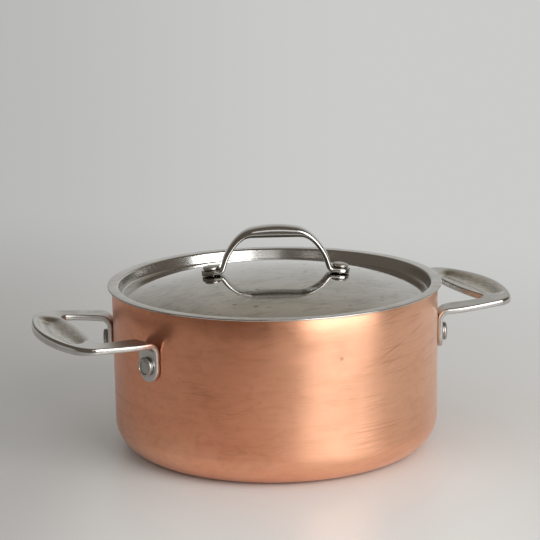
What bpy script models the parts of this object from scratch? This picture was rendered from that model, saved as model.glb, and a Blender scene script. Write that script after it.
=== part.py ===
"""A round copper pot with a steel lining, two riveted loop handles and a lifting lid.

Metres, +Z up. The origin is the centre of the base, and the side handles lie on the X axis.
Run with: blender --background --python part.py
"""
import math

import bmesh
import bpy
from mathutils import Matrix, Vector
from mathutils.geometry import interpolate_bezier

# Clearance between pieces that touch, and how far a cutter runs past what it cuts
SEAT_GAP = 0.0003
CUT_OVERRUN = 0.004
MERGE_DISTANCE = 0.00001

# Pot body
POT_RADIUS = 0.1268
POT_HEIGHT = 0.1279
FOOT_RADIUS = 0.024
COPPER_THICKNESS = 0.0014
LINING_THICKNESS = 0.0008

# Lid sheet: a flat flange, a sunk wall and a shallow dome
LID_SHEET = 0.0012
FLANGE_OVERHANG = 0.0032
LID_SIDE_CLEARANCE = 0.0016
RECESS_DEPTH = 0.0095
RECESS_DRAFT = 0.0018
LID_BEND_RADIUS = 0.002
DOME_RISE = 0.0175

# Side handles, hung from the rim
RIVET_DROP = 0.0421
RIVET_SPACING = 0.0917
HANDLE_THICKNESS = 0.0039
TAB_WIDTH = 0.0204
TAB_DROP = 0.012
ARM_RISE = 0.0201
ARM_BEND_RADIUS = 0.0052
ARM_WIDTH = 0.0185
ARM_THICKNESS = 0.0046
HANDLE_REACH = 0.0644
HANDLE_SPAN = 0.131
SHOULDER_REACH = 0.037
OUTER_CORNER_DROP = 0.011
INNER_CORNER_DROP = 0.007
INNER_CORNER_REACH = 0.0065
GRIP_WIDTH = 0.0325
GRIP_OUTER_CURVE = 0.135
GRIP_INNER_CURVE = 0.3
GRIP_DISH = 0.0022
GRIP_OUTER_EDGE = 0.007
GRIP_INNER_EDGE = 0.0052
LEFT_HANDLE_TILT_DEGREES = 3.5
RIGHT_HANDLE_TILT_DEGREES = 6.2
SHOULDER_TURN_DEGREES = 5

# Rivets of the side handles
RIVET_SHANK_RADIUS = 0.0032
RIVET_HEAD_RADIUS = 0.00715
RIVET_HEAD_HEIGHT = 0.004
RIVET_HEAD_RIM = 0.001
RIVET_HEAD_FLAT_RADIUS = 0.0036
RIVET_TAIL_RADIUS = 0.0055
RIVET_TAIL_HEIGHT = 0.0022

# Lid handle and its rivets
LID_RIVET_SPACING = 0.0994
LID_HANDLE_TURN_DEGREES = -19.7
LID_HANDLE_SHIFT = 0.0011
LID_TAB_RADIUS = 0.0079
LEG_THICKNESS = 0.0041
LEG_BEND_RADIUS = 0.0016
LEG_FOOT_SPREAD = 0.0852
LEG_LEAN_DEGREES = 18
GRIP_TOP_HEIGHT = 0.0362
GRIP_HALF_WIDTH = 0.0088
GRIP_THICKNESS = 0.0084
GRIP_CORNER_SPREAD = 0.0787
GRIP_CORNER_HEIGHT = 0.0216
GRIP_CORNER_LEAN_DEGREES = 28
GRIP_FLAT_SPREAD = 0.034
GRIP_FLAT_DROP = 0.0016
GRIP_UNDERSIDE_SPREAD = 0.039
LID_RIVET_SHANK_RADIUS = 0.0025
LID_RIVET_HEAD_RADIUS = 0.0059
LID_RIVET_HEAD_HEIGHT = 0.0027
LID_RIVET_HEAD_RIM = 0.0021
LID_RIVET_FLAT_RADIUS = 0.0051
LID_RIVET_TAIL_HEIGHT = 0.0015

# Counts of facets
BODY_STEPS = 64
RIVET_STEPS = 16
FOOT_STEPS = 6
DOME_STEPS = 6
FILLET_STEPS = 3
SECTION_STEPS = 8
TAB_END_STEPS = 4
BEND_STEPS = 5
ARM_STEPS = 4
CORNER_STEPS = 6
GRIP_STEPS = 6

# How curves are shaped: the roundness of edges and of the grip's hollow, the pull of a bend
# at its ends, where the grip's full section starts, and how flat a rivet's edges are
EDGE_ROUNDNESS = 5
HOLLOW_ROUNDNESS = 4
BEND_PULL_SHARE = 0.333
GRIP_START_SHARE = 0.8
TAB_END_START_DEGREES = 12
RIVET_EDGE_DEGREES = 80
RIVET_TAIL_FLAT_SHARE = 0.5
SHARP_EDGE_DEGREES = 50

# Copper, satin steel and polished steel: colour, roughness
COPPER = ((0.78, 0.36, 0.22), 0.32)
LINING_STEEL = ((0.62, 0.61, 0.59), 0.34)
LID_STEEL = ((0.60, 0.60, 0.59), 0.18)
HANDLE_STEEL = ((0.66, 0.66, 0.65), 0.14)
RIVET_STEEL = ((0.55, 0.55, 0.54), 0.26)

# Radii of the layers, outside to inside
COPPER_INNER_RADIUS = POT_RADIUS - COPPER_THICKNESS
LINING_OUTER_RADIUS = COPPER_INNER_RADIUS - SEAT_GAP
LINING_INNER_RADIUS = LINING_OUTER_RADIUS - LINING_THICKNESS
RECESS_RADIUS = LINING_INNER_RADIUS - LID_SIDE_CLEARANCE - LID_SHEET

# Place of the side rivets: their height, and their angle from the handles' axis
RIVET_HEIGHT = POT_HEIGHT - RIVET_DROP
RIVET_TURN = math.asin(RIVET_SPACING / (2 * POT_RADIUS))


def clear_scene():
    """Empties the file, so that the model is the same on every run."""
    for old in list(bpy.data.objects):
        bpy.data.objects.remove(old, do_unlink=True)


def make_material(name, finish):
    """A metal with the given colour and roughness."""
    colour, roughness = finish
    metal = bpy.data.materials.new(name)
    metal.use_nodes = True
    shader = metal.node_tree.nodes["Principled BSDF"]
    shader.inputs["Base Color"].default_value = (*colour, 1)
    shader.inputs["Roughness"].default_value = roughness
    shader.inputs["Metallic"].default_value = 1
    return metal


def add_object(name, mesh, finish, parent=None):
    """Links a mesh to the scene as one named sub-part."""
    mesh.materials.append(make_material(name + "_finish", finish))
    part = bpy.data.objects.new(name, mesh)
    bpy.context.collection.objects.link(part)
    part.parent = parent
    return part


def add_empty(name, location):
    """A pivot that carries the pieces of one moving body."""
    pivot = bpy.data.objects.new(name, None)
    pivot.location = location
    bpy.context.collection.objects.link(pivot)
    return pivot


def arc(centre, radius, start, end, steps):
    """Points (x, z) of an arc between two angles in degrees, ends included."""
    points = []
    for step in range(steps + 1):
        angle = math.radians(start + (end - start) * step / steps)
        points.append((centre[0] + radius * math.cos(angle), centre[1] + radius * math.sin(angle)))
    return points


def offset(points, distance):
    """The same open outline, moved to its left by a distance; points on the axis stay on it."""
    moved = []
    for index, point in enumerate(points):
        here = Vector(point)
        directions = []
        if index > 0:
            directions.append((here - Vector(points[index - 1])).normalized())
        if index < len(points) - 1:
            directions.append((Vector(points[index + 1]) - here).normalized())
        mean = sum(directions, Vector((0, 0))).normalized()
        side = Vector((-mean.y, mean.x))
        if here.x < MERGE_DISTANCE:
            side = Vector((0, math.copysign(1, side.y)))
        first_side = Vector((-directions[0].y, directions[0].x))
        moved.append(tuple(here + side * distance / side.dot(first_side)))
    return moved


def turned(name, profile, steps, finish, parent=None):
    """A solid of revolution about Z; the profile runs down its outer side."""
    mesh = bpy.data.meshes.new(name)
    points = [(x, 0, z) for x, z in profile]
    edges = [(index, index + 1) for index in range(len(points) - 1)]
    mesh.from_pydata(points, edges, [])
    part = add_object(name, mesh, finish, parent)
    screw = part.modifiers.new("turn", "SCREW")
    screw.axis = "Z"
    screw.steps = steps
    screw.render_steps = steps
    screw.use_merge_vertices = True
    screw.merge_threshold = MERGE_DISTANCE
    screw.use_smooth_shade = True
    return part


def lofted(name, sections, finish, parent=None):
    """A solid through closed sections that all have the same number of points."""
    mesh = bpy.data.meshes.new(name)
    form = bmesh.new()
    loops = [[form.verts.new(point) for point in section] for section in sections]
    count = len(loops[0])
    for here, following in zip(loops, loops[1:]):
        for index in range(count):
            after = (index + 1) % count
            form.faces.new((here[index], here[after], following[after], following[index]))
    form.faces.new(list(reversed(loops[0])))
    form.faces.new(loops[-1])
    bmesh.ops.recalc_face_normals(form, faces=form.faces)
    form.to_mesh(mesh)
    form.free()
    mesh.shade_smooth()
    mesh.set_sharp_from_angle(angle=math.radians(SHARP_EDGE_DEGREES))
    return add_object(name, mesh, finish, parent)


def add_cutter(name, radius, length, parent=None):
    """A round cutter along local Z, centred on its origin and left out of the build."""
    mesh = bpy.data.meshes.new(name)
    form = bmesh.new()
    bmesh.ops.create_cone(form, cap_ends=True, segments=RIVET_STEPS,
                          radius1=radius, radius2=radius, depth=length)
    form.to_mesh(mesh)
    form.free()
    cutter = bpy.data.objects.new(name, mesh)
    bpy.context.collection.objects.link(cutter)
    cutter.parent = parent
    cutter.hide_render = True
    cutter.display_type = "WIRE"
    return cutter


def cut(part, cutter):
    """Takes the cutter's shape out of a part."""
    hole = part.modifiers.new(cutter.name, "BOOLEAN")
    hole.operation = "DIFFERENCE"
    hole.solver = "EXACT"
    hole.object = cutter


def point_outward(part, angle, distance, height):
    """Turns local Z to a horizontal direction and sets the origin out along it."""
    part.matrix_local = (Matrix.Rotation(angle, 4, "Z") @ Matrix.Translation((distance, 0, height))
                         @ Matrix.Rotation(math.radians(90), 4, "Y"))


# Pot body


def cup_outline(radius, floor, foot_radius, rim):
    """Half outline of a cup, from the axis along the floor and up the wall to the rim."""
    foot = arc((radius - foot_radius, floor + foot_radius), foot_radius, -90, 0, FOOT_STEPS)
    return [(0, floor)] + foot + [(radius, rim)]


def cup_layer(name, outer_radius, floor, foot_radius, thickness, finish):
    """One layer of the body, with the same wall thickness all over."""
    outside = cup_outline(outer_radius, floor, foot_radius, POT_HEIGHT)
    inside = cup_outline(outer_radius - thickness, floor + thickness, foot_radius - thickness, POT_HEIGHT)
    return turned(name, inside + list(reversed(outside)), BODY_STEPS, finish)


def make_body():
    """The copper shell and the steel lining that sits in it."""
    shell = cup_layer("copper_shell", POT_RADIUS, 0, FOOT_RADIUS, COPPER_THICKNESS, COPPER)
    depth = COPPER_THICKNESS + SEAT_GAP
    lining = cup_layer("steel_lining", LINING_OUTER_RADIUS, depth, FOOT_RADIUS - depth,
                       LINING_THICKNESS, LINING_STEEL)
    return shell, lining


# Side handles


def edge_drop(share):
    """How far a rounded edge falls across a section: 0 in the middle and 1 at either side."""
    across = abs(2 * share - 1)
    return 1 - (1 - across ** EDGE_ROUNDNESS) ** (1 / EDGE_ROUNDNESS)


def section_shares():
    """Places across a section, 0 to 1, closer together towards the edges."""
    return [0.5 - 0.5 * math.cos(math.pi * step / SECTION_STEPS) for step in range(SECTION_STEPS + 1)]


def strip_section(plain, grip_share=0):
    """Section of a handle strip as (share across, height over the top face).

    grip_share is 0 where the strip has its plain thickness and 1 at the middle of the
    grip, which is dished on top and has deeper, rounded edges.
    """
    dish = GRIP_DISH * grip_share
    inner_edge = plain + (GRIP_INNER_EDGE - plain) * grip_share
    outer_edge = plain + (GRIP_OUTER_EDGE - plain) * grip_share
    top = []
    bottom = []
    for share in section_shares():
        thickness = inner_edge + (outer_edge - inner_edge) * share
        middle = thickness / 2
        hollow = dish * math.cos(math.pi * (share - 0.5)) ** HOLLOW_ROUNDNESS
        top.append((share, -middle * edge_drop(share) - hollow))
        bottom.append((share, -thickness + (thickness - middle) * edge_drop(share)))
    return top + list(reversed(bottom[1:-1]))


def curve(start, start_turn, end, end_turn, steps):
    """Points of a smooth bend between two points, leaving and arriving at the given angles."""
    start = Vector(start)
    end = Vector(end)
    pull = (end - start).length * BEND_PULL_SHARE
    leave = start + Vector((math.cos(start_turn), math.sin(start_turn))) * pull
    arrive = end - Vector((math.cos(end_turn), math.sin(end_turn))) * pull
    return list(interpolate_bezier(start, leave, arrive, end, steps + 1))


def join(*stretches):
    """One run of points from stretches that share their ends."""
    points = list(stretches[0])
    for stretch in stretches[1:]:
        points.extend(stretch[1:])
    return points


def handle_outlines(root_distance):
    """Outer and inner edges of half a handle seen from above, from its root to its middle."""
    radial = Vector((math.cos(RIVET_TURN), math.sin(RIVET_TURN)))
    sideways = Vector((-radial.y, radial.x))
    shoulder_turn = math.radians(SHOULDER_TURN_DEGREES)
    tip = POT_RADIUS + HANDLE_REACH
    half_span = HANDLE_SPAN / 2

    outer_root = radial * root_distance + sideways * TAB_WIDTH / 2
    outer_shoulder = (POT_RADIUS + SHOULDER_REACH, half_span)
    outer_side = half_span - OUTER_CORNER_DROP
    outer_lean = math.asin(outer_side / GRIP_OUTER_CURVE)
    outer_end = (tip - GRIP_OUTER_CURVE * (1 - math.cos(outer_lean)), outer_side)
    across = -math.pi / 2
    outer = join(curve(outer_root, RIVET_TURN, outer_shoulder, shoulder_turn, ARM_STEPS),
                 curve(outer_shoulder, shoulder_turn, outer_end, across + outer_lean, CORNER_STEPS),
                 curve(outer_end, across + outer_lean, (tip, 0), across, GRIP_STEPS))

    inner_root = radial * root_distance - sideways * TAB_WIDTH / 2
    inner_side = half_span - ARM_WIDTH - INNER_CORNER_DROP
    inner_lean = math.asin(inner_side / GRIP_INNER_CURVE)
    inner_middle = tip - GRIP_WIDTH
    inner_end = (inner_middle + GRIP_INNER_CURVE * (1 - math.cos(inner_lean)), inner_side)
    inner_shoulder = (inner_end[0] - INNER_CORNER_REACH, half_span - ARM_WIDTH)
    inner = join(curve(inner_root, RIVET_TURN, inner_shoulder, shoulder_turn, ARM_STEPS),
                 curve(inner_shoulder, shoulder_turn, inner_end, across - inner_lean, CORNER_STEPS),
                 curve(inner_end, across - inner_lean, (inner_middle, 0), across, GRIP_STEPS))
    return outer, inner


def tab_sections(tilt):
    """Sections of one tab, from its round end up the wall and round the bend to the arm."""
    radial = Vector((math.cos(RIVET_TURN), math.sin(RIVET_TURN), 0))
    sideways = Vector((-radial.y, radial.x, 0))
    up = Vector((0, 0, 1))
    back_distance = POT_RADIUS + SEAT_GAP
    bend_radius = ARM_BEND_RADIUS + HANDLE_THICKNESS
    turn = math.pi / 2 - tilt
    bend_height = RIVET_HEIGHT + ARM_RISE - bend_radius * math.sin(turn)
    tab_end = RIVET_HEIGHT - TAB_DROP
    end_radius = TAB_WIDTH / 2

    stations = []
    for step in range(TAB_END_STEPS + 1):
        angle = math.radians(TAB_END_START_DEGREES + (90 - TAB_END_START_DEGREES) * step / TAB_END_STEPS)
        back = radial * back_distance + up * (tab_end + end_radius * (1 - math.cos(angle)))
        stations.append((back, -radial, end_radius * math.sin(angle), 0))
    stations.append((radial * back_distance + up * bend_height, -radial, end_radius, 0))
    centre = radial * (back_distance + bend_radius) + up * bend_height
    for step in range(1, BEND_STEPS + 1):
        angle = turn * step / BEND_STEPS
        face = up * math.sin(angle) - radial * math.cos(angle)
        stations.append((centre + face * bend_radius, face, end_radius, step / BEND_STEPS))

    sections = []
    for back, face, half_width, bend_share in stations:
        section = []
        thickness = HANDLE_THICKNESS + (ARM_THICKNESS - HANDLE_THICKNESS) * bend_share
        for share, depth in strip_section(thickness):
            side = (2 * share - 1) * half_width
            wrap = radial * (side ** 2 / (2 * POT_RADIUS)) * (1 - bend_share)
            section.append(back + sideways * side + face * depth - wrap)
        sections.append(section)
    return sections


def grip_share(index, count):
    """How much of the grip's own section a place on the arm and grip has."""
    place = max(0, index - ARM_STEPS / 2) / (count - 1 - ARM_STEPS / 2)
    return math.sin(min(1, place / GRIP_START_SHARE) * math.pi / 2) ** 2


def half_handle_sections(tilt_degrees):
    """All sections of the half at positive Y, from the tab's end to the handle's middle."""
    slope = math.tan(math.radians(tilt_degrees))
    tilt = math.atan(slope * math.cos(RIVET_TURN))
    sections = tab_sections(tilt)
    bend_radius = ARM_BEND_RADIUS + HANDLE_THICKNESS
    root_distance = POT_RADIUS + SEAT_GAP + bend_radius * (1 - math.sin(tilt))
    root_reach = root_distance * math.cos(RIVET_TURN)
    face = Vector((-slope, 0, 1)).normalized()
    outer, inner = handle_outlines(root_distance)
    for index in range(1, len(outer)):
        section = []
        for share, depth in strip_section(ARM_THICKNESS, grip_share(index, len(outer))):
            plan = inner[index].lerp(outer[index], share)
            top = RIVET_HEIGHT + ARM_RISE + slope * (plan.x - root_reach)
            section.append(Vector((plan.x, plan.y, top)) + face * depth)
        sections.append(section)
    return sections


def make_handle(name, turn, tilt_degrees):
    """A whole side handle, turned about the pot's axis to its side."""
    half = half_handle_sections(tilt_degrees)
    mirrored = [[Vector((point.x, -point.y, point.z)) for point in section] for section in half]
    handle = lofted(name, half + list(reversed(mirrored[:-1])), HANDLE_STEEL)
    handle.rotation_euler = (0, 0, turn)
    return handle


# Rivets


def rivet_profile(shank_radius, head, tail, grip_length):
    """Half outline of a rivet whose shank starts at height 0 and ends at grip_length."""
    head_radius, head_height, head_rim, flat_radius = head
    tail_radius, tail_height = tail
    top = grip_length + head_height
    edge_turn = math.radians(RIVET_EDGE_DEGREES)
    dome = curve((flat_radius, top), 0, (head_radius, grip_length + head_rim), -edge_turn, FILLET_STEPS)
    tail_dome = curve((tail_radius, -tail_height / 2), edge_turn - math.pi,
                      (tail_radius * RIVET_TAIL_FLAT_SHARE, -tail_height), math.pi, FILLET_STEPS)
    return ([(0, top)] + [tuple(point) for point in dome]
            + [(head_radius, grip_length), (shank_radius, grip_length), (shank_radius, 0), (tail_radius, 0)]
            + [tuple(point) for point in tail_dome] + [(0, -tail_height)])


def make_side_rivet(name, angle):
    """A rivet through a handle tab, the copper and the lining, with a cutter for its hole."""
    tail_gap = SEAT_GAP + RIVET_TAIL_RADIUS ** 2 / (2 * LINING_INNER_RADIUS)
    inside = LINING_INNER_RADIUS - tail_gap
    outside = POT_RADIUS + SEAT_GAP + HANDLE_THICKNESS + SEAT_GAP
    head = (RIVET_HEAD_RADIUS, RIVET_HEAD_HEIGHT, RIVET_HEAD_RIM, RIVET_HEAD_FLAT_RADIUS)
    tail = (RIVET_TAIL_RADIUS, RIVET_TAIL_HEIGHT)
    profile = rivet_profile(RIVET_SHANK_RADIUS, head, tail, outside - inside)
    rivet = turned(name, profile, RIVET_STEPS, RIVET_STEEL)
    point_outward(rivet, angle, inside, RIVET_HEIGHT)
    cutter = add_cutter(name + "_hole", RIVET_SHANK_RADIUS + SEAT_GAP, outside - inside + 2 * CUT_OVERRUN)
    point_outward(cutter, angle, (inside + outside) / 2, RIVET_HEIGHT)
    return rivet, cutter


# Lid


def dome_radius(edge_radius):
    """Radius of the sphere that gives the dome its rise over its edge circle."""
    return (edge_radius ** 2 + DOME_RISE ** 2) / (2 * DOME_RISE)


def lid_heights():
    """Heights of the flange's top and of the dome's edge over the rim plane."""
    flange_top = SEAT_GAP + LID_SHEET
    return flange_top, flange_top - RECESS_DEPTH


def dome_height(radius):
    """Height of the dome's upper face over the rim plane at a radius."""
    edge_radius = RECESS_RADIUS - RECESS_DRAFT
    sphere = dome_radius(edge_radius)
    fall = sphere - math.sqrt(sphere ** 2 - radius ** 2)
    return lid_heights()[1] + DOME_RISE - fall


def lid_handle_place():
    """Where the lid handle's own frame sits: turned, and slid along the dome's sphere."""
    sphere = dome_radius(RECESS_RADIUS - RECESS_DRAFT)
    to_top = Matrix.Translation((0, 0, dome_height(0)))
    down = Matrix.Translation((0, 0, -sphere))
    slide = Matrix.Rotation(LID_HANDLE_SHIFT / sphere, 4, "Y")
    turn = Matrix.Rotation(math.radians(LID_HANDLE_TURN_DEGREES), 4, "Z")
    return turn @ to_top @ down @ slide @ down.inverted() @ to_top.inverted()


def rounded_corner(before, corner, after, radius, steps):
    """Points of a fillet that rounds one corner of an outline."""
    corner = Vector(corner)
    back = (Vector(before) - corner).normalized()
    on = (Vector(after) - corner).normalized()
    half = back.angle(on) / 2
    middle = corner + (back + on).normalized() * (radius / math.sin(half))
    start = corner + back * (radius / math.tan(half)) - middle
    sweep = start.angle_signed(corner + on * (radius / math.tan(half)) - middle)
    points = []
    for step in range(steps + 1):
        points.append(tuple(middle + Matrix.Rotation(-sweep * step / steps, 2) @ start))
    return points


def lid_upper_outline():
    """Upper face of the lid from the axis to the flange's edge."""
    flange_top, dome_edge = lid_heights()
    foot_radius = RECESS_RADIUS - RECESS_DRAFT
    dome_end = foot_radius - 2 * LID_BEND_RADIUS
    dome = []
    for step in range(DOME_STEPS + 1):
        radius = dome_end * step / DOME_STEPS
        dome.append((radius, dome_height(radius)))
    foot = (foot_radius, dome_edge)
    top = (RECESS_RADIUS, flange_top)
    edge = (POT_RADIUS + FLANGE_OVERHANG, flange_top)
    return (dome + rounded_corner(dome[-1], foot, top, LID_BEND_RADIUS, FILLET_STEPS)
            + rounded_corner(foot, top, edge, LID_BEND_RADIUS, FILLET_STEPS) + [edge])


def make_lid_shell(pivot):
    """The lid's pressed sheet."""
    upper = lid_upper_outline()
    lower = offset(upper, -LID_SHEET)
    return turned("lid_shell", upper + list(reversed(lower)), BODY_STEPS, LID_STEEL, pivot)


# Lid handle


def bar_section(middle, across, half_width, out, half_thickness):
    """A rounded rectangle about a middle point."""
    section = []
    for step in range(2 * SECTION_STEPS):
        angle = 2 * math.pi * (step + 0.5) / (2 * SECTION_STEPS)
        share = 2 / EDGE_ROUNDNESS
        side = math.copysign(abs(math.cos(angle)) ** share, math.cos(angle))
        rise = math.copysign(abs(math.sin(angle)) ** share, math.sin(angle))
        section.append(middle + across * (side * half_width) + out * (rise * half_thickness))
    return section


def make_lid_handle(pivot):
    """The arch handle, drawn in the XZ plane and set in its place on the lid."""
    half_spacing = LID_RIVET_SPACING / 2
    fall = math.asin(half_spacing / dome_radius(RECESS_RADIUS - RECESS_DRAFT))
    along = Vector((math.cos(fall), -math.sin(fall)))
    up = Vector((math.sin(fall), math.cos(fall)))
    seat = Vector((half_spacing, dome_height(half_spacing))) + up * SEAT_GAP
    lean = math.pi / 2 + math.radians(LEG_LEAN_DEGREES)
    inward = math.pi - fall
    apex = Vector((0, lid_heights()[0] + GRIP_TOP_HEIGHT + DOME_RISE - RECESS_DEPTH))

    stations = []
    for step in range(TAB_END_STEPS + 1):
        angle = math.radians(TAB_END_START_DEGREES + (90 - TAB_END_START_DEGREES) * step / TAB_END_STEPS)
        lower = seat + along * (LID_TAB_RADIUS * math.cos(angle))
        stations.append((lower + up * LEG_THICKNESS, lower, LID_TAB_RADIUS * math.sin(angle)))

    foot = seat - along * (half_spacing - LEG_FOOT_SPREAD / 2 - LEG_BEND_RADIUS)
    leg_normal = Vector((math.cos(lean - math.pi / 2), math.sin(lean - math.pi / 2)))
    centre = foot + up * (LEG_THICKNESS + LEG_BEND_RADIUS)
    first = math.atan2(-up.y, -up.x)
    last = math.atan2(-leg_normal.y, -leg_normal.x)
    for step in range(BEND_STEPS + 1):
        angle = first + (last - first) * step / BEND_STEPS
        spoke = Vector((math.cos(angle), math.sin(angle)))
        upper = centre + spoke * LEG_BEND_RADIUS
        lower = centre + spoke * (LEG_BEND_RADIUS + LEG_THICKNESS)
        stations.append((upper, lower, LID_TAB_RADIUS))

    corner_lean = math.radians(GRIP_CORNER_LEAN_DEGREES)
    corner_turn = math.pi / 2 + corner_lean
    corner_upper = Vector((GRIP_CORNER_SPREAD / 2, apex.y - GRIP_CORNER_HEIGHT))
    corner_lower = corner_upper - Vector((math.cos(corner_lean), math.sin(corner_lean))) * LEG_THICKNESS
    half_flat = GRIP_FLAT_SPREAD / 2
    flat_upper = Vector((half_flat, apex.y - GRIP_FLAT_DROP))
    flat_lower = Vector((GRIP_UNDERSIDE_SPREAD / 2, apex.y - GRIP_THICKNESS))
    flat_turn = math.pi - math.atan(2 * GRIP_FLAT_DROP / half_flat)
    uppers = join(curve(stations[-1][0], lean, corner_upper, corner_turn, ARM_STEPS),
                  curve(corner_upper, corner_turn, flat_upper, flat_turn, CORNER_STEPS),
                  curve(flat_upper, flat_turn, apex, math.pi, GRIP_STEPS))
    lowers = join(curve(stations[-1][1], lean, corner_lower, corner_turn, ARM_STEPS),
                  curve(corner_lower, corner_turn, flat_lower, math.pi, CORNER_STEPS),
                  curve(flat_lower, math.pi, apex - Vector((0, GRIP_THICKNESS)), math.pi, GRIP_STEPS))
    for index in range(1, len(uppers)):
        widening = math.sin(index / (len(uppers) - 1) * math.pi / 2) ** 2
        half_width = LID_TAB_RADIUS + (GRIP_HALF_WIDTH - LID_TAB_RADIUS) * widening
        stations.append((uppers[index], lowers[index], half_width))

    across = Vector((0, 1, 0))
    half = []
    for upper, lower, half_width in stations:
        middle = (upper + lower) / 2
        out = (upper - lower).normalized()
        half.append(bar_section(Vector((middle.x, 0, middle.y)), across, half_width,
                                Vector((out.x, 0, out.y)), (upper - lower).length / 2))
    mirrored = [[Vector((-point.x, point.y, point.z)) for point in section] for section in half]
    handle = lofted("lid_handle", half + list(reversed(mirrored[:-1])), HANDLE_STEEL, pivot)
    handle.matrix_local = lid_handle_place()
    return handle


def make_lid_rivet(name, turn, pivot):
    """A rivet through a lid handle tab and the dome, with a cutter for its hole."""
    half_spacing = LID_RIVET_SPACING / 2
    fall = math.asin(half_spacing / dome_radius(RECESS_RADIUS - RECESS_DRAFT))
    inside = -LID_SHEET - SEAT_GAP
    outside = SEAT_GAP + LEG_THICKNESS + SEAT_GAP
    head = (LID_RIVET_HEAD_RADIUS, LID_RIVET_HEAD_HEIGHT, LID_RIVET_HEAD_RIM, LID_RIVET_FLAT_RADIUS)
    tail = (LID_RIVET_HEAD_RADIUS, LID_RIVET_TAIL_HEIGHT)
    profile = rivet_profile(LID_RIVET_SHANK_RADIUS, head, tail, outside - inside)
    rivet = turned(name, profile, RIVET_STEPS, RIVET_STEEL, pivot)
    cutter = add_cutter(name + "_hole", LID_RIVET_SHANK_RADIUS + SEAT_GAP,
                        outside - inside + 2 * CUT_OVERRUN, pivot)
    place = (lid_handle_place() @ Matrix.Rotation(turn, 4, "Z")
             @ Matrix.Translation((half_spacing, 0, dome_height(half_spacing)))
             @ Matrix.Rotation(fall, 4, "Y"))
    rivet.matrix_local = place @ Matrix.Translation((0, 0, inside))
    cutter.matrix_local = place
    return rivet, cutter


def main():
    """Builds the pot at rest, with its lid on."""
    clear_scene()
    shell, lining = make_body()
    sides = (("right", 0, RIGHT_HANDLE_TILT_DEGREES), ("left", math.pi, LEFT_HANDLE_TILT_DEGREES))
    for side, turn, tilt_degrees in sides:
        handle = make_handle(side + "_handle", turn, tilt_degrees)
        mirror = 1 if side == "left" else -1
        for place, step in (("front", 1), ("back", -1)):
            rivet, cutter = make_side_rivet(side + "_rivet_" + place, turn + mirror * step * RIVET_TURN)
            for part in (handle, shell, lining):
                cut(part, cutter)

    pivot = add_empty("lid_pivot", (0, 0, POT_HEIGHT))
    lid = make_lid_shell(pivot)
    lid_handle = make_lid_handle(pivot)
    for side, turn in (("right", 0), ("left", math.pi)):
        rivet, cutter = make_lid_rivet("lid_rivet_" + side, turn, pivot)
        for part in (lid, lid_handle):
            cut(part, cutter)


main()
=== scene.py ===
"""A round copper pot with riveted steel handles and a lifting steel lid, finished for pictures.

Metres, +Z up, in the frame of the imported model: the origin is the centre of the base and the
side handles lie on the X axis. Each piece has an operator, and the panel lists them all.
"""

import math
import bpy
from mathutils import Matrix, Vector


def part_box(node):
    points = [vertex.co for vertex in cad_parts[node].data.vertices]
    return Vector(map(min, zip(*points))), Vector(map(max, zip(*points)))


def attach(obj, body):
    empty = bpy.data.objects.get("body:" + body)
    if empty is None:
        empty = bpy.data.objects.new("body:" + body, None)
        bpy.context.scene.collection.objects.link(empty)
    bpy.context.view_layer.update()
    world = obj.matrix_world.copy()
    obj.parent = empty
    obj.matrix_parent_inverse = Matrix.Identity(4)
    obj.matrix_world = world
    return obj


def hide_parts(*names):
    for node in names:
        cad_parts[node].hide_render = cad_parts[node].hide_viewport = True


bl_info = {
    "name": "Copper Pot",
    "version": (1, 0, 0),
    "blender": (4, 5, 0),
    "location": "View3D > Sidebar > Copper Pot",
    "description": "Builds a copper pot with its lid and handles, and a plain stage for it",
    "category": "Add Mesh",
}

import bpy
from bpy.props import FloatProperty, FloatVectorProperty, IntProperty, PointerProperty
from mathutils import Matrix, Vector
from mathutils.geometry import interpolate_bezier
from mathutils.kdtree import KDTree

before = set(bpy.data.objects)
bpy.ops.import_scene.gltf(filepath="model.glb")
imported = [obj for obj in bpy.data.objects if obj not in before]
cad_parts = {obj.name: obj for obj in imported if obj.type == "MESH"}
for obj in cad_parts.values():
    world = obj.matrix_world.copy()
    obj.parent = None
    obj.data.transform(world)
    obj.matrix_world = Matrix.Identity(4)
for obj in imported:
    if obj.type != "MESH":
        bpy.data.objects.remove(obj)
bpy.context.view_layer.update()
BODY_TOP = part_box("copper_shell")[1]

# Points nearer than this are one point, and the plane that a line starts from is this wide
NEAR = 0.000001
SEED_WIDTH = 0.01

# Outlines of the rivets are drawn in tenths of a millimetre
TENTH = 0.0001

# How many steps each stretch of an outline has
BASE_STEPS = 8
FOOT_STEPS = 20
WALL_STEPS = 6
DOME_STEPS = 36
FILLET_STEPS = 8
TAB_END_STEPS = 6
TAB_SIDE_STEPS = 3
BEND_STEPS = 8
ARM_STEPS = 8
CORNER_STEPS = 10
GRIP_STEPS = 16
LEG_STEPS = 6
ARCH_TOP_STEPS = 8
LIP_STEPS = 3
RIVET_EDGE_STEPS = 6
RIVET_TAIL_STEPS = 8
HANDLE_STRIPS = 8

# Angles in degrees: where a tab's round end starts, which edges are softened, and where shading breaks
TAB_END_START = 9
SOFTENED_ANGLE = 60
BROKEN_ANGLE = 35
HANDLE_BROKEN_ANGLE = 60

# Along half a side handle the metal starts to swell at one step and is full after some more. The
# grip's steps are closer, so they count for less. An edge's band is never more than a share of the
# width, and the power makes the hollow flat at its sides.
SWELL_START = 4
SWELL_LENGTH = 19.2
GRIP_STEP_SHARE = 0.625
EDGE_BAND_LIMIT_SHARE = 0.3
HOLLOW_POWER = 3

# How oval the lid handle's legs are, as a share of its grip's
LEG_OVAL_SHARE = 0.7

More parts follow.
